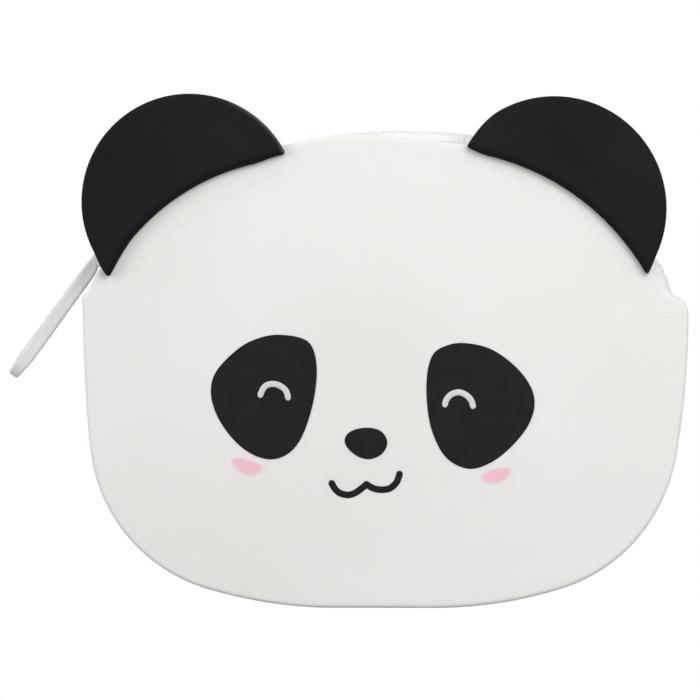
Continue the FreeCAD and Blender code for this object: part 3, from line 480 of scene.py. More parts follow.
def bar(path, flat, half_in, half_flat, power, sides=16):
    """A bent bar of softened rectangles: flat is the axis square to the plane of its path."""
    section = []
    for k in range(sides):
        c, s = ray(360 * (k + 0.5) / sides)
        section.append((math.copysign(abs(c) ** power, c), math.copysign(abs(s) ** power, s)))
    axis = Vector(flat)

    def axes(_, along):
        return axis.cross(along).normalized() * half_in, axis * half_flat

    return swept([Vector(p) for p in path], section, axes)


# the pouch: base, corners and sides, the shoulders, and the mouth's rim


def pouch_outline():
    """The outline, and for each point whether the gusset or the mouth's rim is behind it."""
    low_turn = heading((BASE_HALF, BASE_RADIUS), CORNER)
    side_turn = heading(SIDE, CORNER)
    top_turn = math.degrees(math.asin((SIDE_TOP - SIDE[1]) / SIDE_RADIUS))
    half = [(k * BASE_HALF / BASE_STEPS, 0.0) for k in range(BASE_STEPS + 1)]
    half += arc((BASE_HALF, BASE_RADIUS), BASE_RADIUS, -90, low_turn)
    half += arc(CORNER, CORNER_RADIUS, low_turn, side_turn)
    half += arc(SIDE, SIDE_RADIUS, side_turn, top_turn)
    other_half = [(-x, z) for x, z in reversed(half)]
    right_centre = (MOUTH_SHIFT + HAUNCH[0], HAUNCH[1])
    left_centre = (MOUTH_SHIFT - HAUNCH[0], HAUNCH[1])
    drop = (HAUNCH_RADIUS - CREST_RADIUS) * ray(CREST_TURN)[1]
    crest_centre = (MOUTH_SHIFT, HAUNCH[1] + drop)
    lip = arc(right_centre, HAUNCH_RADIUS, HAUNCH_ENDS[0], CREST_TURN)
    lip += arc(crest_centre, CREST_RADIUS, CREST_TURN, 180 - CREST_TURN)
    lip += arc(left_centre, HAUNCH_RADIUS, 180 - CREST_TURN, HAUNCH_ENDS[1])
    runs = (
        (half, True),
        (curve((half[-1], *RIGHT_SHOULDER, lip[0])), None),
        (lip, False),
        (curve((lip[-1], *LEFT_NOTCH, LEFT_TIP[0])), False),
        (curve((*LEFT_TIP, other_half[0])), True),
        (other_half, True),
    )
    rows = tidy([
        (x, z, x > RIGHT_GUSSET_FROM if kind is None else kind)
        for run, kind in runs for x, z in run
    ])
    return [row[:2] for row in rows], [row[2] for row in rows]


def fuller(point):
    """Fuller left of the crest, at the right shoulder and at the low left corner."""
    x, z = point
    if z > HUB[1]:
        z += hump(*CREST_FULL, x)
    if x > HUB[0]:
        x += hump(*SHOULDER_FULL, z)
    else:
        x -= CORNER_FULL * ease(*CORNER_X, x) * ease(*CORNER_Z, z)
    return x, z


def edge_round(point, gusset):
    if not gusset:
        return LIP_EDGE
    if point[0] < LEFT_TIP_FROM[0] and point[1] > LEFT_TIP_FROM[1]:
        return LEFT_TIP_EDGE
    return GUSSET_EDGE


OUTLINE, GUSSET = pouch_outline()
OUTLINE = [fuller(point) for point in OUTLINE]
WAYS = inset_ways(OUTLINE, HUB)
ROUNDS = evened([edge_round(p, g) for p, g in zip(OUTLINE, GUSSET)], passes=4)
PANEL_EDGE = inset(OUTLINE, WAYS, [r + PANEL_MARGIN for r in ROUNDS])
PANEL_TABLE = sorted((heading(HUB, p), math.dist(HUB, p)) for p in PANEL_EDGE)


def panel_reach(angle):
    """How far the flat panel reaches from the hub in one direction."""
    last = (PANEL_TABLE[-1][0] - 360, PANEL_TABLE[-1][1])
    for row in PANEL_TABLE + [(PANEL_TABLE[0][0] + 360, PANEL_TABLE[0][1])]:
        if row[0] >= angle:
            share = (angle - last[0]) / max(row[0] - last[0], 1e-9)
            return last[1] + (row[1] - last[1]) * share
        last = row
    return last[1]


def crown(share):
    """How far the panel bulges at a share of the way from the hub to its edge."""
    return CROWN * max(0.0, 1 - share * share) ** 1.5


def panel_depth(x, z):
    """How far the panel's face stands from the pouch's middle plane."""
    reach = panel_reach(heading(HUB, (x, z)))
    return HALF_DEPTH + crown(math.dist(HUB, (x, z)) / reach)


def skin(name, side):
    """One half of the pouch in one piece: panel, lip, edge, half gusset and inner face."""
    rings = []
    for share in PANEL_SHARES:
        run = shrunk(PANEL_EDGE, HUB, share)
        rings.append([(x, side * (HALF_DEPTH + crown(share)), z) for x, z in run])
    for turn in EDGE_TURNS:
        c, s = ray(turn)
        run = inset(OUTLINE, WAYS, [r * (1 - s) for r in ROUNDS])
        rings.append([
            (x, side * (HALF_DEPTH - r * (1 - c)), z) for (x, z), r in zip(run, ROUNDS)
        ])
    for at_gusset, at_lip in zip(GUSSET_RUN, LIP_RUN):
        rows = [at_gusset if g else at_lip for g in GUSSET]
        run = inset(OUTLINE, WAYS, [row[1] for row in rows])
        rings.append([(x, side * row[0], z) for (x, z), row in zip(run, rows)])
    inner = inset(OUTLINE, WAYS, INNER_INSET)
    for share in reversed(PANEL_SHARES):
        y = side * (HALF_DEPTH - WALL + INNER_CROWN * crown(share))
        rings.append([(x, y, z) for x, z in shrunk(inner, HUB, share)])
    return mesh_object(name, *stacked(rings), sharp=55)


# ears


def ear_ring(label, by, base_by):
    """The ear's outline moved in from its rim and from its base: a disc cut off by an arc."""
    disc_at, disc, base_at, base = EARS[label]
    first, last = EAR_TIPS[label]
    out = math.dist(base_at, disc_at)
    turn = heading(base_at, disc_at)
    along = (out ** 2 + base ** 2 - disc ** 2) / (2 * out)
    off = math.sqrt(base ** 2 - along ** 2)
    at_disc = math.degrees(math.atan2(off, along - out))
    at_base = math.degrees(math.atan2(off, along))

    def spread(angle, reach, limit, which):
        """What the two ends add to a radius at an angle from the ear's axis."""
        total = 0.0
        for end, sign in ((first, -1), (last, 1)):
            add, length = end[which]
            total += add * ease(length, 0.0, math.radians(limit - sign * angle) * reach)
        return total

    def rim(angle):
        reach = disc - by + spread(angle, disc, at_disc, 0)
        return polar(disc_at, reach, turn + angle)

    def foot(angle):
        reach = base + base_by + spread(angle, base, at_base, 1)
        return polar(base_at, reach, turn + angle)

    def past_base(angle):
        """How far a point of the rim lies outside the base's arc, and its angle there."""
        point = rim(angle)
        swing = (heading(base_at, point) - turn + 180) % 360 - 180
        return math.dist(base_at, point) - math.dist(base_at, foot(swing)), swing

    # where the rim meets the base, found by halving
    ends = []
    for sign in (-1, 1):
        inside, outside = 0.7 * at_disc * sign, 1.25 * at_disc * sign
        for _ in range(40):
            half = (inside + outside) / 2
            if past_base(half)[0] > 0:
                inside = half
            else:
                outside = half
        ends.append((inside, past_base(inside)[1]))
    (rim_low, foot_low), (rim_high, foot_high) = ends
    points = [rim(rim_low + (rim_high - rim_low) * k / EAR_RIM) for k in range(EAR_RIM)]
    points += [foot(foot_high + (foot_low - foot_high) * k / EAR_FOOT) for k in range(EAR_FOOT)]
    soft = list(points)
    for tip in (0, EAR_RIM):
        a, b, c = points[tip - 1], points[tip], points[tip + 1]
        soft[tip] = ((a[0] + 2 * b[0] + c[0]) / 4, (a[1] + 2 * b[1] + c[1]) / 4)
    return soft


def ear(name, label):
    """A flat rubber ear with soft front edges, glued on the front lip."""
    front, back = HALF_DEPTH + EAR_THICK, HALF_DEPTH + EAR_GLUE
    disc_at, disc, base_at, base = EARS[label]
    way = ray(heading(base_at, disc_at))
    hub = tuple((d + disc * k + b + base * k) / 2 for d, b, k in zip(disc_at, base_at, way))
    face = ear_ring(label, RIM_ROUND, BASE_ROUND[0])
    rings = []
    for share in FACE_SHARES:
        level = front + EAR_DOME * (1 - share)
        rings.append((shrunk(face, hub, share), [level] * len(face), 0.0))
    for turn in range(0, 91, 15):
        c, s = ray(turn)
        ring = ear_ring(label, RIM_ROUND * (1 - s), BASE_ROUND[0] * (1 - s))
        falls = [RIM_ROUND] * EAR_RIM + [BASE_ROUND[1]] * EAR_FOOT
        for k in range(-TIP_BLEND, TIP_BLEND + 1):
            for tip, sign in ((0, 1), (EAR_RIM, -1)):
                share = ease(TIP_BLEND, -TIP_BLEND, sign * k)
                falls[tip + k] = RIM_ROUND + (BASE_ROUND[1] - RIM_ROUND) * share
        rings.append((ring, [front - fall * (1 - c) for fall in falls], s))
    for turn in (0, 45, 90):
        c, s = ray(turn)
        ring = ear_ring(label, EAR_BACK_ROUND * (1 - c), EAR_BACK_ROUND * (1 - c))
        rings.append((ring, [back + EAR_BACK_ROUND * (1 - s)] * len(ring), 1.0))
    for share in (0.7, 0.4, 0.1):
        rings.append((shrunk(ring, hub, share), [back] * len(ring), 0.0))
    verts, marks = [], []
    for ring, levels, share in rings:
        for k, ((x, z), level) in enumerate(zip(ring, levels)):
            verts.append((x, -level, z))
            # the edge mark: a painted highlight on the left ear's upper rim above 0, painted shade
            # along the base, on its rounding and back, below 0
            rim_highlight = hump(*RIM_HIGHLIGHT, heading(disc_at, (x, z))) if label == "left" else 0.0
            marks.append(share ** 3 * rim_highlight if k < EAR_RIM else -share)
    obj = mesh_object(name, verts, ring_faces(len(rings), len(face)), sharp=50)
    mark_points(obj, "edge", marks)
    return obj


# the printed face


def plate(name, points, rise, sink, soft, spread=None, dome=0.0, fade=0.0):
    """A print with a soft edge that stands a little proud of the front panel."""
    hub, outline = middle(points), loop(points)
    if spread:
        outline = shrunk(outline, hub, spread)
    outline = tidy(outline)
    ways = inset_ways(outline, hub)
    rings, tints = [], []

    def add(run, level, tint=0.0):
        rings.append([(x, -(panel_depth(x, z) + level), z) for x, z in run])
        tints.append(tint)

    edge = inset(outline, ways, soft + fade)
    for share in (*FACE_SHARES, 1.0):
        add(shrunk(edge, hub, share), rise + dome * (1 - share * share), 1.0)
    if fade:
        add(inset(outline, ways, soft + fade / 2), rise, FADE_MIDDLE)
    for turn in range(0, 91, 18):
        c, s = ray(turn)
        add(inset(outline, ways, soft * (1 - s)), rise - soft * (1 - c))
    for turn in (0, 45, 90):
        c, s = ray(turn)
        add(inset(outline, ways, PRINT_BACK * (1 - c)), -sink + PRINT_BACK * (1 - s))
    for share in (1.0, 0.7, 0.4, 0.1):
        add(shrunk(inset(outline, ways, PRINT_BACK), hub, share), -sink)
    obj = mesh_object(name, *stacked(rings), sharp=50)
    if fade:
        mark_points(obj, "tint", [tint for ring, tint in zip(rings, tints) for _ in ring])
    return obj


def stroke(name, runs, width, rise, sink):
    """Painted lines with round ends on the front panel."""
    parts = []
    for points in runs:
        run = curve(points, STROKE_STEPS)
        lengths = run_lengths(run)
        verts = []
        for i, (x, z) in enumerate(run):
            nx, nz = normal(*beside(run, i))
            end = min(lengths[i], lengths[-1] - lengths[i]) / (width / 2)
            half = width / 2 * math.sqrt(max(STROKE_END, 1 - max(0.0, 1 - end) ** 2))
            for across, level in STROKE_PROFILE:
                px, pz = x + nx * half * across, z + nz * half * across
                up = rise * level if level > 0 else -sink
                verts.append((px, -(panel_depth(px, pz) + up), pz))
        parts.append((verts, ring_faces(len(run), len(STROKE_PROFILE))))
    return mesh_object(name, *joined(parts), sharp=60)


# zip


def chain_sag(turn):
    """The soft chain lies lower left of the crest, and a little higher right of it."""
    return hump(*LIFT, turn) - hump(*SAG, turn)


def end_cover(turn):
    """From 0 to 1 where the tapes close over the chain's end at the right."""
    return ease(*COVER_SPAN, turn)


def flat_end(turn, out):
    """The chain is pressed flatter at the right, most where the tapes close over it."""
    floor = ZIP_RADIUS - CHAIN_FLOOR
    press = 1 - FLAT * ease(*FLAT_IN, turn) - FLAT_COVERED * end_cover(turn)
    return floor + (out - floor) * press


def on_chain(turn, across, out):
    """A point on the zip's arc: across is Y, out the distance from the arc's centre."""
    out += chain_sag(turn)
    c, s = ray(turn)
    return (ZIP_CENTRE[0] + out * s, across, ZIP_CENTRE[1] + out * c)


def tape(name, side):
    """A woven tape that lies under the chain and bends down behind the lip, and its flat width."""
    half, under, steps = 0.22, 0.25, 300
    bend, radius = 7.75, 1.98
    top = ZIP_RADIUS - CHAIN_HALF - under
    line = [(across, top) for across in (1.2, 3.0, 5.5, 7.7)]
    line += [polar((bend, top - radius), radius, turn) for turn in range(75, -1, -15)]
    line += [(bend + radius, top - drop) for drop in (3.5, 5.0, 6.25)]
    marks = run_lengths(line)
    ring = []
    for way in (1, -1):
        for i in range(len(line))[::way]:
            nq, nr = normal(*beside(line, i))
            across, out = line[i]
            ring.append((across + nq * half * way, out + nr * half * way, marks[i]))
    low, high = (ZIP_END + past for past in TAPE_PAST)
    verts, spots = [], []
    for k in range(steps + 1):
        turn = -low + (low + high) * k / steps
        cover = end_cover(turn)
        swell = COVER_SWELL * cover * ease(*COVER_SWELL_SPAN, turn)
        rise = COVER_RISE * cover + (swell - ease(RIGHT_SINK_FROM, high, turn))
        sink = LEFT_SINK * ease(LEFT_SINK_FROM, -low, turn)
        meet = MEET * (cover + ease(*MEET_SPAN, turn))
        for across, out, mark in ring:
            out += rise * ease(*COVER_REACH, across) - sink
            across -= meet * ease(*MEET_REACH, across)
            verts.append(on_chain(turn, side * across, out))
            spots.append((math.radians(turn) * ZIP_RADIUS, mark))
    faces = ring_faces(steps + 1, len(ring))
    return mesh_object(name, verts, faces, sharp=50, weave=spots), marks[-1]


def coil_sewing(name, side):
    """The thread that sews a coil row to its tape: a band over the outer side of the turns."""
    first, last, per = -50.6, 54.4, 8
    foot, most = -0.5, 0.09
    pitch = math.degrees(COIL_PITCH / ZIP_RADIUS)
    steps = int((last - first) / pitch) * per
    shift = 0.5 if side > 0 else 0.0
    verts = []
    for k in range(steps + 1):
        turn = first + pitch * k / per
        swell = most * math.cos(2 * math.pi * (k / per + shift))
        for across, out in SEWING_LINE:
            grow = swell if out > foot else 0.0
            level = flat_end(turn, ZIP_RADIUS + out + grow)
            verts.append(on_chain(turn, side * (across + grow), level))
    return mesh_object(name, verts, ring_faces(steps + 1, len(SEWING_LINE)), sharp=60)


def coil(name, side):
    """A nylon coil: one wound wire whose turns lock between those of the other row."""
    first, last, per = -51.0, 54.5, 14
    centre, reach, square, rise, wire = 0.83, 1.12, 0.8, 0.6, 0.27
    pitch = math.degrees(COIL_PITCH / ZIP_RADIUS)
    shift = 0.49 if side > 0 else 0.0
    path = []
    for k in range(int((last - first) / pitch) * per + 1):
        wound = k / per
        c, s = ray(360 * wound)
        across = centre + reach * math.copysign(abs(c) ** square, -c)
        turn = first + (wound + shift) * pitch
        level = flat_end(turn, ZIP_RADIUS + rise * s)
        path.append(Vector(on_chain(turn, side * across, level)))

    def axes(spot, along):
        out = (spot - Vector((ZIP_CENTRE[0], spot.y, ZIP_CENTRE[1]))).normalized()
        side_way = along.cross(out).normalized()
        return side_way * wire, side_way.cross(along) * wire

    return mesh_object(name, *swept(path, circle(sides=6), axes), sharp=80)


def slider(name):
    """Slider body: two plates, the neck between them, side flanges and a crown on top."""
    # a plan is left end, right end, half the width and the corners' radius
    plan, thick = (-4.5, 4.5, 3.6, 1.6), 1.2
    neck, neck_bite = (-4.1, -2.3, 0.8, 0.5), 0.2
    flange, flange_at, drop, bite = (-2.9, 2.9, 0.42, 0.3), 3.17, 1.6, 0.3
    under, over = ZIP_RADIUS - 1.75, ZIP_RADIUS + 1.25
    top = over + thick
    parts = [
        block(*plan, under - thick, under, soft=0.4),
        block(*plan, over, top, soft=0.5),
        block(*neck, under - neck_bite, over + neck_bite, soft=0.05),
    ]
    for sign in (-1, 1):
        verts, faces = block(*flange, over - drop, over + bite, soft=0.2)
        parts.append(([(x, y + sign * flange_at, n) for x, y, n in verts], faces))
    half, leg, bend, foot = 2.4, 1.2, 1.5, 0.4
    path = [(-half, 0, top + up) for up in (-foot, leg / 3, leg)]
    for turn in (165, 145, 125, 105, 90):
        x, n = polar((bend - half, top + leg), bend, turn)
        path.append((x, 0, n))
    path += [(-x, y, n) for x, y, n in reversed(path)]
    parts.append(bar(path, (0, 1, 0), half_in=0.5, half_flat=0.8, power=0.55))
    verts, faces = joined(parts)
    return mesh_object(name, set_in(verts, SLIDER_TURN, ZIP_CENTRE), faces, sharp=45)


def pull_section(half_width, half_height):
    """Points round the pull's section: full corners above, and a groove down each side."""
    upper = min(0.55 * half_height, 0.8 * half_width)
    lower = 0.06 * half_height
    groove = ((0.34, 0.0), (-0.06, 0.1), (-0.46, 0.0))  # level and depth
    side = []
    for turn in (90, 68, 46, 23, 0):
        c, s = ray(turn)
        side.append((half_width - upper * (1 - c), half_height - upper * (1 - s)))
    for level, depth in groove:
        side.append((half_width - depth * half_height, level * half_height))
    for turn in (0, -45, -90):
        c, s = ray(turn)
        side.append((half_width - lower * (1 - c), lower * (1 + s) - half_height))
    return side + [(-y, n) for y, n in reversed(side)]


def pull(name):
    """Pull tab: a moulded loop round the crown's bar and a flat bar that thins to its tip."""
    half, bend, thick = 1.9, 1.4, 0.7
    path = [(x, half, 0) for x in (-5.6, -4.6, -3.0, -bend)]
    for turn in range(75, -1, -15):
        path.append((*polar((-bend, half - bend), bend, turn), 0))
    path += [(x, -y, n) for x, y, n in reversed(path)]
    verts, eye_faces = bar(path, (0, 0, 1), half_in=thick, half_flat=thick, power=0.6)
    eye_verts = []
    for x, y, n in verts:
        # towards the bar it is flatter above and deeper below
        grow = -0.36 * ease(-0.2, -1.6, x) if n > 0 else ease(-1.2, -4.6, x)
        eye_verts.append((x, y, n * (1 + grow)))
    bar_verts = []
    for x, half_width, high, low in PULL_STATIONS:
        half = (high - low) / 2
        section = pull_section(half_width, half)
        bar_verts += [(x, y, n + low + half) for y, n in section]
    bar_faces = ring_faces(len(PULL_STATIONS), len(section))
    verts, faces = joined([(eye_verts, eye_faces), (bar_verts, bar_faces)])
    return mesh_object(name, set_in(verts, PULL_TURN, PULL_HINGE), faces, sharp=45)


def stop(name, turn, near, far):
    """A pressed clip across the tape, past the end of the coil."""
    half, corner, foot, press = 1.14, 0.4, 0.92, 1.28
    high = ZIP_RADIUS + CHAIN_HALF - press * end_cover(turn)
    plan = (-half, half, (far - near) / 2, corner)
    verts, faces = block(*plan, ZIP_RADIUS - foot, high, soft=0.25)
    verts = [(x, y + (near + far) / 2, n) for x, y, n in verts]
    return mesh_object(name, set_in(verts, turn, ZIP_CENTRE), faces, sharp=45)


# sewing


def stitch(spot, way, length, side):
    """One thread over the face, with its ends pulled into the needle holes."""
    half = length / 2
    path = []
    for along, up in STITCH_LINE:
        x, z = spot[0] + way[0] * half * along, spot[1] + way[1] * half * along
        path.append(Vector((x, side * (panel_depth(x, z) + up), z)))
    cross = Vector((-way[1], 0, way[0]))

    def axes(_, along):
        return cross * STITCH_THICK, along.cross(cross).normalized() * STITCH_THICK

    return swept(path, circle(sides=8), axes)


def seam_path():
    """The line of the seam: two flat arcs that meet near the crest, then the right haunch."""
    left, right = SEAM_CENTRES
    meet = math.degrees(math.asin((left - right) / 2 / SEAM_RADIUS))
    path = arc((left, SEAM_HEIGHT), SEAM_RADIUS, SEAM_LEFT, 90 + meet, SEAM_STEP)
    path += arc((right, SEAM_HEIGHT), SEAM_RADIUS, 90 - meet, SEAM_RIGHT, SEAM_STEP)
    haunch = (MOUTH_SHIFT + HAUNCH[0], HAUNCH[1])
    start = heading(haunch, path[-1])
    return path + arc(haunch, HAUNCH_RADIUS - SEAM_INSET, start, SEAM_END, SEAM_STEP)


def seam(name, side):
    """A row of stitches inside the rim of a lip."""
    parts, gone, due = [], 0.0, STITCH_LENGTH
    path = seam_path()
    for start, end in zip(path[:-1], path[1:]):
        length = math.dist(start, end)
        if length > 0 and gone + length >= due:
            share = (due - gone) / length
            spot = tuple(a + (b - a) * share for a, b in zip(start, end))
            way = tuple((b - a) / length for a, b in zip(start, end))
            parts.append(stitch(spot, way, STITCH_LENGTH, side))
            due += STITCH_PITCH
        gone += length
    return mesh_object(name, *joined(parts), sharp=70)


def tacks(name):
    """Two short stitches at each shoulder, on both faces."""
    parts = []
    for side in (-1, 1):
        for x in TACK_PLACES:
            parts.append(stitch((x, TACK_HEIGHT), (1.0, 0.0), TACK_LENGTH, side))
    return mesh_object(name, *joined(parts), sharp=70)


# materials


def lin(red, green, blue):
    """A colour from the photograph's scale, as a linear one."""
    out = []
    for v in (red, green, blue):
        v /= 255
        out.append(v / 12.92 if v <= 0.04045 else ((v + 0.055) / 1.055) ** 2.4)
    return (*out, 1.0)


def fill(tree, node, inputs):
    """Give a node's inputs plain values, or links from the outputs of others."""
    for key, value in inputs.items():
        if isinstance(value, bpy.types.NodeSocket):
            tree.links.new(value, node.inputs[key])
        else:
            node.inputs[key].default_value = value


def add_node(tree, kind, inputs=None, **settings):
    made = tree.nodes.new(kind)
    for key, value in settings.items():
        setattr(made, key, value)
    fill(tree, made, inputs or {})
    return made


class Finish:
    """A node material with a few helpers."""

    def __init__(self, name, rough, specular):
        self.material = bpy.data.materials.new(name)
        self.material.use_nodes = True
        self.tree = self.material.node_tree
        self.shade({"Roughness": rough, "Specular IOR Level": specular})
        self.place = self.node("ShaderNodeTexCoord").outputs["Object"]
        self.last_bump = None

    def node(self, kind, inputs=None, **settings):
        return add_node(self.tree, kind, inputs, **settings)

    def shade(self, inputs):
        fill(self.tree, self.tree.nodes["Principled BSDF"], inputs)

    def colour(self, socket):
        self.shade({"Base Color": socket})

    def product(self, first, second):
        values = {0: first, 1: second}
        return self.node("ShaderNodeMath", values, operation="MULTIPLY").outputs[0]

    def noise(self, scale, detail):
        values = {"Vector": self.place, "Scale": scale, "Detail": detail, "Roughness": 0.55}
        return self.node("ShaderNodeTexNoise", values).outputs["Fac"]

    def ramp(self, fac, *stops):
        made = self.node("ShaderNodeValToRGB", {"Fac": fac})
        for element, (place, colour) in zip(made.color_ramp.elements, stops):
            element.position = place
            element.color = colour
        return made.outputs["Color"]

    def tone(self, scale, detail, low, high):
        """A colour that drifts between two, given on the photograph's scale."""
        return self.ramp(self.noise(scale, detail), (0.3, lin(*low)), (0.7, lin(*high)))

    def level(self, fac, low, high, start=0.0, end=1.0):
        values = {"From Min": start, "From Max": end, "To Min": low, "To Max": high, "Value": fac}
        return self.node("ShaderNodeMapRange", values).outputs["Result"]

    def blend(self, fac, first, second):
        """From a colour that comes in by a link to a plain one."""
        values = {"Factor": fac, 6: first, 7: second}
        return self.node("ShaderNodeMix", values, data_type="RGBA").outputs[2]

    def gloss(self, scale, detail, low, high):
        """Roughness that drifts between two values."""
        self.shade({"Roughness": self.level(self.noise(scale, detail), low, high)})

    def bump(self, height, strength, distance):
        values = {"Height": height, "Strength": strength, "Distance": distance * MM}
        if self.last_bump:
            values["Normal"] = self.last_bump
        self.last_bump = self.node("ShaderNodeBump", values).outputs["Normal"]
        self.shade({"Normal": self.last_bump})

    def grain(self, scale, detail, strength, distance):
        self.bump(self.noise(scale, detail), strength, distance)


def white_silicone():
    made = Finish("white_silicone", 0.5, 0.35)
    made.colour(made.tone(26, 4.0, (234, 232, 229), (238, 237, 235)))
    made.gloss(90, 4.0, 0.42, 0.58)
    made.grain(1600, 2.0, 0.12, 0.05)
    made.grain(120, 3.0, 0.06, 0.3)
    made.shade({
        "Subsurface Weight": 0.12,
        "Subsurface Radius": (1.0, 0.8, 0.65),
        "Subsurface Scale": 0.0015,
    })
    return made.material


def black_silicone():
    """Black rubber with a little dust, with painted shade along the base and a painted highlight
    on the left ear's upper rim.
    """
    made = Finish("black_silicone", 0.62, 0.06)
    specks = made.node("ShaderNodeTexVoronoi", {"Scale": 170, "Vector": made.place})
    white, black = (1, 1, 1, 1), (0, 0, 0, 1)
    dust = made.ramp(specks.outputs["Distance"], (0.012, white), (0.03, black))
    chosen = made.ramp(made.noise(45, 2.0), (0.6, black), (0.68, white))
    ground = made.tone(60, 4.0, (25, 25, 27), (30, 30, 32))
    edge = made.node("ShaderNodeAttribute", attribute_name="edge").outputs["Fac"]
    # painted shade: darker where the edge mark is below 0, along the ear's base
    ground = made.blend(made.level(edge, 1.0, 0.0, -1.0, 0.0), ground, lin(15, 15, 16))
    # painted highlight: paler where the edge mark is above 0, on the left ear's upper rim
    ground = made.blend(edge, ground, lin(104, 104, 106))
    made.colour(made.blend(made.product(dust, chosen), ground, lin(120, 120, 122)))
    made.gloss(160, 4.0, 0.5, 0.68)
    made.grain(1300, 2.0, 0.15, 0.05)
    return made.material


def ink(name, low, high, rough, specular, faded=False):
    made = Finish(name, rough, specular)
    tone = made.tone(220, 4.0, low, high)
    if faded:
        tint = made.node("ShaderNodeAttribute", attribute_name="tint").outputs["Fac"]
        tone = made.blend(made.level(tint, 1.0, 0.0), tone, lin(236, 226, 226))
    made.colour(tone)
    made.gloss(400, 3.0, rough - 0.06, rough + 0.08)
    made.grain(2200, 2.0, 0.1, 0.03)
    return made.material


def zip_tape():
    """Woven tape: two sets of diagonal bands in the tape's own flat coordinates."""
    made = Finish("zip_tape", 0.85, 0.2)
    flat = made.node("ShaderNodeUVMap", uv_map="weave").outputs["UV"]
    bands = []
    for turn in (45, -45):
        values = {"Vector": flat, "Rotation": (0, 0, math.radians(turn))}
        turned = made.node("ShaderNodeMapping", values).outputs["Vector"]
        values = {"Vector": turned, "Scale": 0.62, "Distortion": 0.6, "Detail Scale": 1.5}
        wave = made.node("ShaderNodeTexWave", values, wave_type="BANDS", bands_direction="X")
        bands.append(wave.outputs["Fac"])
    weave = made.product(*bands)
    made.colour(made.ramp(weave, (0.0, lin(240, 239, 240)), (0.6, lin(246, 245, 245))))
    made.bump(weave, 0.35, 0.08)
    made.grain(2500, 2.0, 0.2, 0.05)
    made.shade({"Sheen Weight": 0.1})
    return made.material


def zip_coil():
    made = Finish("zip_coil", 0.38, 0.45)
    made.colour(made.tone(300, 3.0, (236, 236, 238), (244, 244, 246)))
    made.gloss(700, 2.0, 0.3, 0.45)
    made.grain(3000, 2.0, 0.1, 0.03)
    return made.material


def zip_metal():
    made = Finish("zip_metal", 0.32, 0.5)
    made.colour(made.tone(140, 4.0, (222, 222, 222), (234, 234, 233)))
    made.gloss(500, 4.0, 0.24, 0.42)
    made.grain(900, 3.0, 0.08, 0.05)
    made.shade({"Coat Weight": 0.25, "Coat Roughness": 0.2})
    return made.material


def pull_plastic():
    """Moulded plastic, with painted light that makes it paler towards the crown, against the shade
    near the ear.
    """
    made = Finish("pull_plastic", 0.42, 0.45)
    tone = made.tone(70, 4.0, (222, 222, 224), (228, 228, 230))
    along = made.node("ShaderNodeSeparateXYZ", {"Vector": made.place}).outputs["X"]
    # painted light: paler towards the crown end, where the ear shades the pull
    painted_crown_light = made.level(along, 0.0, 1.0, -0.0665, -0.058)
    made.colour(made.blend(painted_crown_light, tone, lin(246, 246, 248)))
    made.gloss(350, 4.0, 0.36, 0.52)
    made.grain(700, 2.0, 0.05, 0.03)
    return made.material


def thread():
    made = Finish("thread", 0.75, 0.25)
    values = {"Vector": made.place, "Scale": 900, "Distortion": 1.0}
    twist = made.node("ShaderNodeTexWave", values, wave_type="BANDS", bands_direction="DIAGONAL")
    wound = twist.outputs["Fac"]
    made.colour(made.ramp(wound, (0.0, lin(230, 229, 227)), (0.8, lin(240, 239, 237))))
    made.bump(wound, 0.4, 0.06)
    return made.material


WHITE = white_silicone()
BLACK = black_silicone()
BLACK_INK = ink("black_ink", (29, 29, 28), (34, 34, 33), 0.55, 0.08)
GREY_INK = ink("grey_ink", (208, 208, 208), (222, 222, 221), 0.5, 0.2)
PINK_INK = ink("pink_ink", (243, 192, 205), (247, 200, 212), 0.5, 0.2, faded=True)
TAPE = zip_tape()
COIL = zip_coil()
METAL = zip_metal()
PLASTIC = pull_plastic()
THREAD = thread()


# pieces


def place(obj, material, slot, body, *nodes):
    """Give a piece its finish, hide the nodes it stands for, and attach it to the body that it
    moves with; a piece of a mouth body is only baked in place.
    """
    obj.data.materials.append(material)
    if nodes:
        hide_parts(*nodes)
    if body in FLEX:
        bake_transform(obj)
    else:
        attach(obj, body)


for label, side in (("front", -1), ("rear", 1)):
    shape = skin(label + "_skin", side)
    place(shape, WHITE, "white_silicone", label + "_mouth", label + "_shell", label + "_lip")
for label in EARS:
    shape = ear(label + "_ear_rubber", label)
    place(shape, BLACK, "black_silicone", "front_mouth", label + "_ear")

for label, patch, eye in (("left", LEFT_PATCH, LEFT_EYE), ("right", RIGHT_PATCH, RIGHT_EYE)):
    shape = plate(
        label + "_eye_print", patch, rise=0.14, sink=0.08, soft=0.08, spread=PRINT_SPREAD,
    )
    place(shape, BLACK_INK, "black_ink", "pouch", label + "_eye_patch")
    shape = stroke(label + "_eye_stroke", [eye], EYE_STROKE, rise=0.22, sink=-0.1)
    place(shape, GREY_INK, "grey_ink", "pouch", label + "_eye_arc")

shape = plate(
    "nose_print", NOSE, rise=0.16, sink=0.08, soft=0.1, spread=PRINT_SPREAD, dome=0.08,
)
place(shape, BLACK_INK, "black_ink", "pouch", "nose")
shape = stroke("mouth_print", [LEFT_LOBE, RIGHT_LOBE], MOUTH_STROKE, rise=0.16, sink=0.06)
place(shape, BLACK_INK, "black_ink", "pouch", "mouth")
for label, cheek in (("left", LEFT_CHEEK), ("right", RIGHT_CHEEK)):
    shape = plate(label + "_cheek_print", cheek, rise=0.07, sink=0.06, soft=0.07, fade=0.5)
    place(shape, PINK_INK, "pink_ink", "pouch", label + "_cheek")

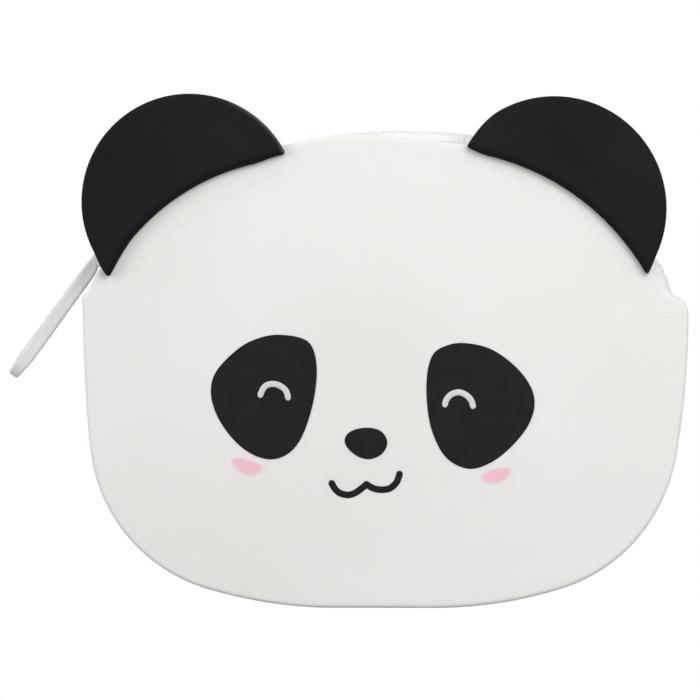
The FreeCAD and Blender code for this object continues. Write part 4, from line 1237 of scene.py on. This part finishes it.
for label, side in (("front", -1), ("rear", 1)):
    body = label + "_mouth"
    shape, width = tape(label + "_tape_weave", side)
    place(shape, TAPE, "zip_tape", body, label + "_zip_tape")
    place(coil(label + "_coil_wire", side), COIL, "zip_coil", body, label + "_zip_coil")
    place(coil_sewing(label + "_coil_sewing", side), THREAD, "thread", body)
    near, far = sorted((side * STOP_NEAR, side * STOP_FAR))
    shape = stop(label + "_top_clip", -STOP_TURN, near, far)
    place(shape, METAL, "zip_metal", body, label + "_top_stop")
    place(seam(label + "_seam_thread", side), THREAD, "thread", body, label + "_stitching")
shape = stop("bottom_clip", STOP_TURN, -STOP_FAR, STOP_FAR)
place(shape, METAL, "zip_metal", "pouch", "bottom_stop")
place(tacks("shoulder_threads"), THREAD, "thread", "pouch", "side_bar_tacks")
place(slider("slider_casting"), METAL, "zip_metal", "slider", "slider_body")
place(pull("pull_moulding"), PLASTIC, "pull_plastic", "pull", "pull_tab")


# floor, light and camera


def seen_ways(tree):
    """One for camera, glossy and transmission rays."""
    path = add_node(tree, "ShaderNodeLightPath")
    total = path.outputs["Is Camera Ray"]
    for kind in ("Is Glossy Ray", "Is Transmission Ray"):
        values = {0: total, 1: path.outputs[kind]}
        total = add_node(tree, "ShaderNodeMath", values, operation="MAXIMUM").outputs[0]
    return total


def backdrop_material():
    """White to the camera and in reflections, and a plain grey surface to the light."""
    made = bpy.data.materials.new("backdrop")
    made.use_nodes = True
    tree = made.node_tree
    tree.nodes.clear()
    out = add_node(tree, "ShaderNodeOutputMaterial")
    tone = {"Color": (FLOOR_TONE, FLOOR_TONE, FLOOR_TONE, 1)}
    diffuse = add_node(tree, "ShaderNodeBsdfDiffuse", tone).outputs[0]
    glow = add_node(tree, "ShaderNodeEmission").outputs[0]
    mix = add_node(tree, "ShaderNodeMixShader", {0: seen_ways(tree), 1: diffuse, 2: glow})
    fill(tree, out, {"Surface": mix.outputs[0]})
    return made


def sweep_floor():
    """A floor that curves up into a backdrop behind the object."""
    profile = [(-FLOOR_Y, 0.0), (FLOOR_Y, 0.0)]
    for k in range(1, SWEEP_STEPS + 1):
        turn = -90 + 90 * k / SWEEP_STEPS
        profile.append(polar((FLOOR_Y, SWEEP_RADIUS), SWEEP_RADIUS, turn))
    profile.append((FLOOR_Y + SWEEP_RADIUS, BACKDROP_TOP))
    verts, faces = [], []
    for y, z in profile:
        verts += [(x, y, z - FLOOR_DROP) for x in (-FLOOR_X, FLOOR_X)]
    for k in range(len(profile) - 1):
        faces.append((2 * k, 2 * k + 1, 2 * k + 3, 2 * k + 2))
    mesh = bpy.data.meshes.new("floor")
    mesh.from_pydata(verts, [], faces)
    mesh.shade_smooth()
    obj = add_object("floor", mesh)
    obj.data.materials.append(backdrop_material())


def aimed(name, data, spot, way):
    """A lamp or camera at a spot, looking one way."""
    obj = add_object(name, data)
    obj.location = spot
    obj.rotation_euler = way.to_track_quat("-Z", "Y").to_euler()
    return obj


def lamp(name, spot, size, power):
    data = bpy.data.lights.new(name, "AREA")
    data.shape = "DISK"
    data.size = size
    data.energy = power
    aimed(name, data, spot, Vector(LAMP_TARGET) - Vector(spot))


def sky():
    """White to the camera and in reflections, and a plain level to the light."""
    world = bpy.data.worlds.new("studio")
    bpy.context.scene.world = world
    world.use_nodes = True
    tree = world.node_tree
    values = {"Value": seen_ways(tree), "To Min": SKY_LEVEL, "To Max": 1.0}
    level = add_node(tree, "ShaderNodeMapRange", values).outputs["Result"]
    fill(tree, tree.nodes["Background"], {"Color": (1, 1, 1, 1), "Strength": level})


def set_camera():
    """A long lens a little right of the middle and a little above."""
    data = bpy.data.cameras.new("camera")
    data.sensor_width = SENSOR
    data.lens = SENSOR / 2 * VIEW_AWAY / (PIXELS / 2 / PIXELS_PER_MM * MM)
    data.clip_start = 0.01
    (yaw_c, yaw_s), (pitch_c, pitch_s) = ray(VIEW_YAW), ray(VIEW_PITCH)
    away = Vector((yaw_s * pitch_c, -yaw_c * pitch_c, pitch_s))
    bpy.context.scene.camera = aimed("camera", data, AIM + away * VIEW_AWAY, -away)


sweep_floor()
for row in LAMPS:
    lamp(*row)
sky()
set_camera()
bpy.context.scene.view_settings.view_transform = "Standard"
